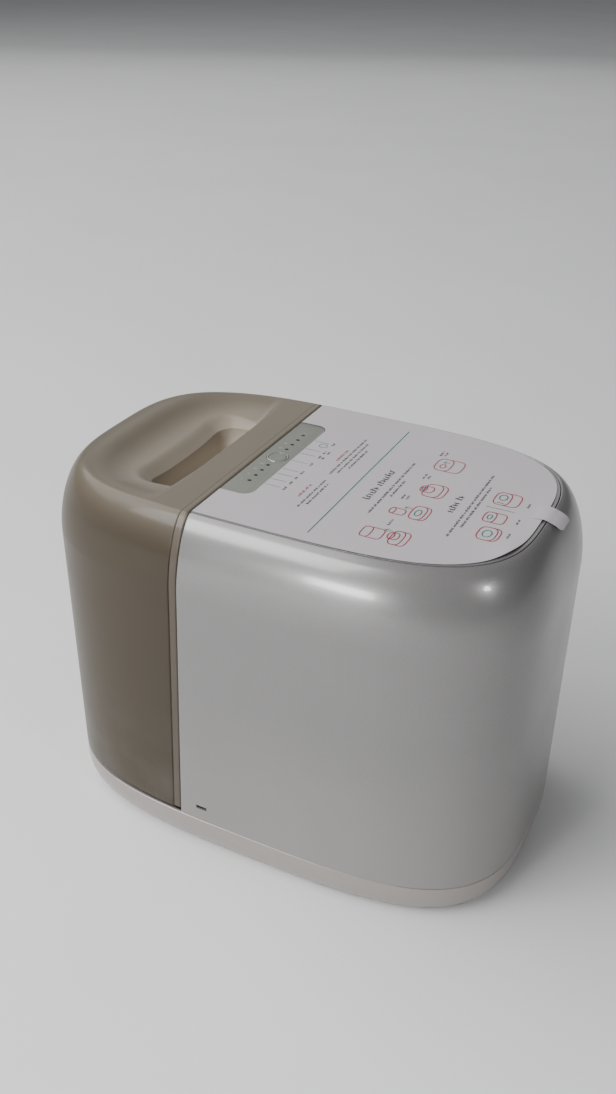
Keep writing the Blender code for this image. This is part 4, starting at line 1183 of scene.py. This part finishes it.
def make_floor():
    """Plain pale floor."""
    mesh = bpy.data.meshes.new("floor")
    corners = [(x * FLOOR_HALF, y * FLOOR_HALF, 0) for x, y in ((-1, -1), (1, -1), (1, 1), (-1, 1))]
    mesh.from_pydata(corners, [], [(0, 1, 2, 3)])
    floor = add("floor", mesh)
    n = Nodes("floor_paint")
    pale = n.ramp(n.noise(3.0, 4.0), [(0.3, (0.64, 0.64, 0.64)), (0.7, (0.67, 0.67, 0.67))])
    n.set(Base_Color=pale, Roughness=0.75)
    mesh.materials.append(n.mat)


def lamp(name, place, target, size, watts):
    """A soft rectangular lamp aimed at a point."""
    data = bpy.data.lights.new(name, "AREA")
    data.shape = "RECTANGLE"
    data.size, data.size_y = size
    data.energy = watts
    obj = bpy.data.objects.new(name, data)
    obj.location = place
    way = Vector(target) - Vector(place)
    obj.rotation_euler = way.to_track_quat("-Z", "Y").to_euler()
    bpy.context.scene.collection.objects.link(obj)


def make_lights_and_world():
    """A large softbox at the tank's end, a key in front, two small windows and a panel behind."""
    world = bpy.data.worlds.new("studio")
    world.use_nodes = True
    sky = world.node_tree.nodes["Background"]
    sky.inputs["Color"].default_value = (0.94, 0.96, 1.0, 1.0)
    sky.inputs["Strength"].default_value = 0.17
    bpy.context.scene.world = world
    middle = (0, 0, 0.15)
    front_edge = (67 * MM, -112 * MM, 270 * MM)
    near_corner = (154 * MM, -84 * MM, 277 * MM)
    lamp("key", (-0.9, -1.5, 1.5), middle, (1.3, 1.1), 50)
    lamp("side_softbox", (-3.2, -0.4, 3.8), middle, (4.6, 5.0), 290)
    lamp("front_window", (-0.30, -1.85, 0.44), front_edge, (0.5, 0.22), 15)
    lamp("corner_window", (1.58, -0.72, 1.0), near_corner, (0.16, 0.2), 7)
    lamp("back_panel", (-1.7, 4.0, 2.0), middle, (4.6, 2.6), 24)


def make_camera():
    """Camera at the photographed angle."""
    data = bpy.data.cameras.new("camera")
    data.sensor_fit = "AUTO"
    data.sensor_width = 36
    data.lens = 35.58
    camera = bpy.data.objects.new("camera", data)
    place = Matrix.Translation((0.3017, -0.6254, 0.6348))
    around, down, roll = math.radians(26.31), math.radians(30.81), math.radians(0.65)
    turn = Matrix.Rotation(around, 4, "Z") @ Matrix.Rotation(math.pi / 2 - down, 4, "X")
    camera.matrix_world = place @ turn @ Matrix.Rotation(roll, 4, "Z")
    bpy.context.scene.collection.objects.link(camera)
    bpy.context.scene.camera = camera


make_camera()
finish_frame_nodes()
make_tray()
make_tank()
make_back_plate()
make_body_shell()
make_latch_shade_liner()
make_grille()
make_lid()
make_strip()
make_button()
make_lights()
make_film()
make_film_tab()
make_print()
make_strip_marks()
make_wick()
make_floor()
make_lights_and_world()
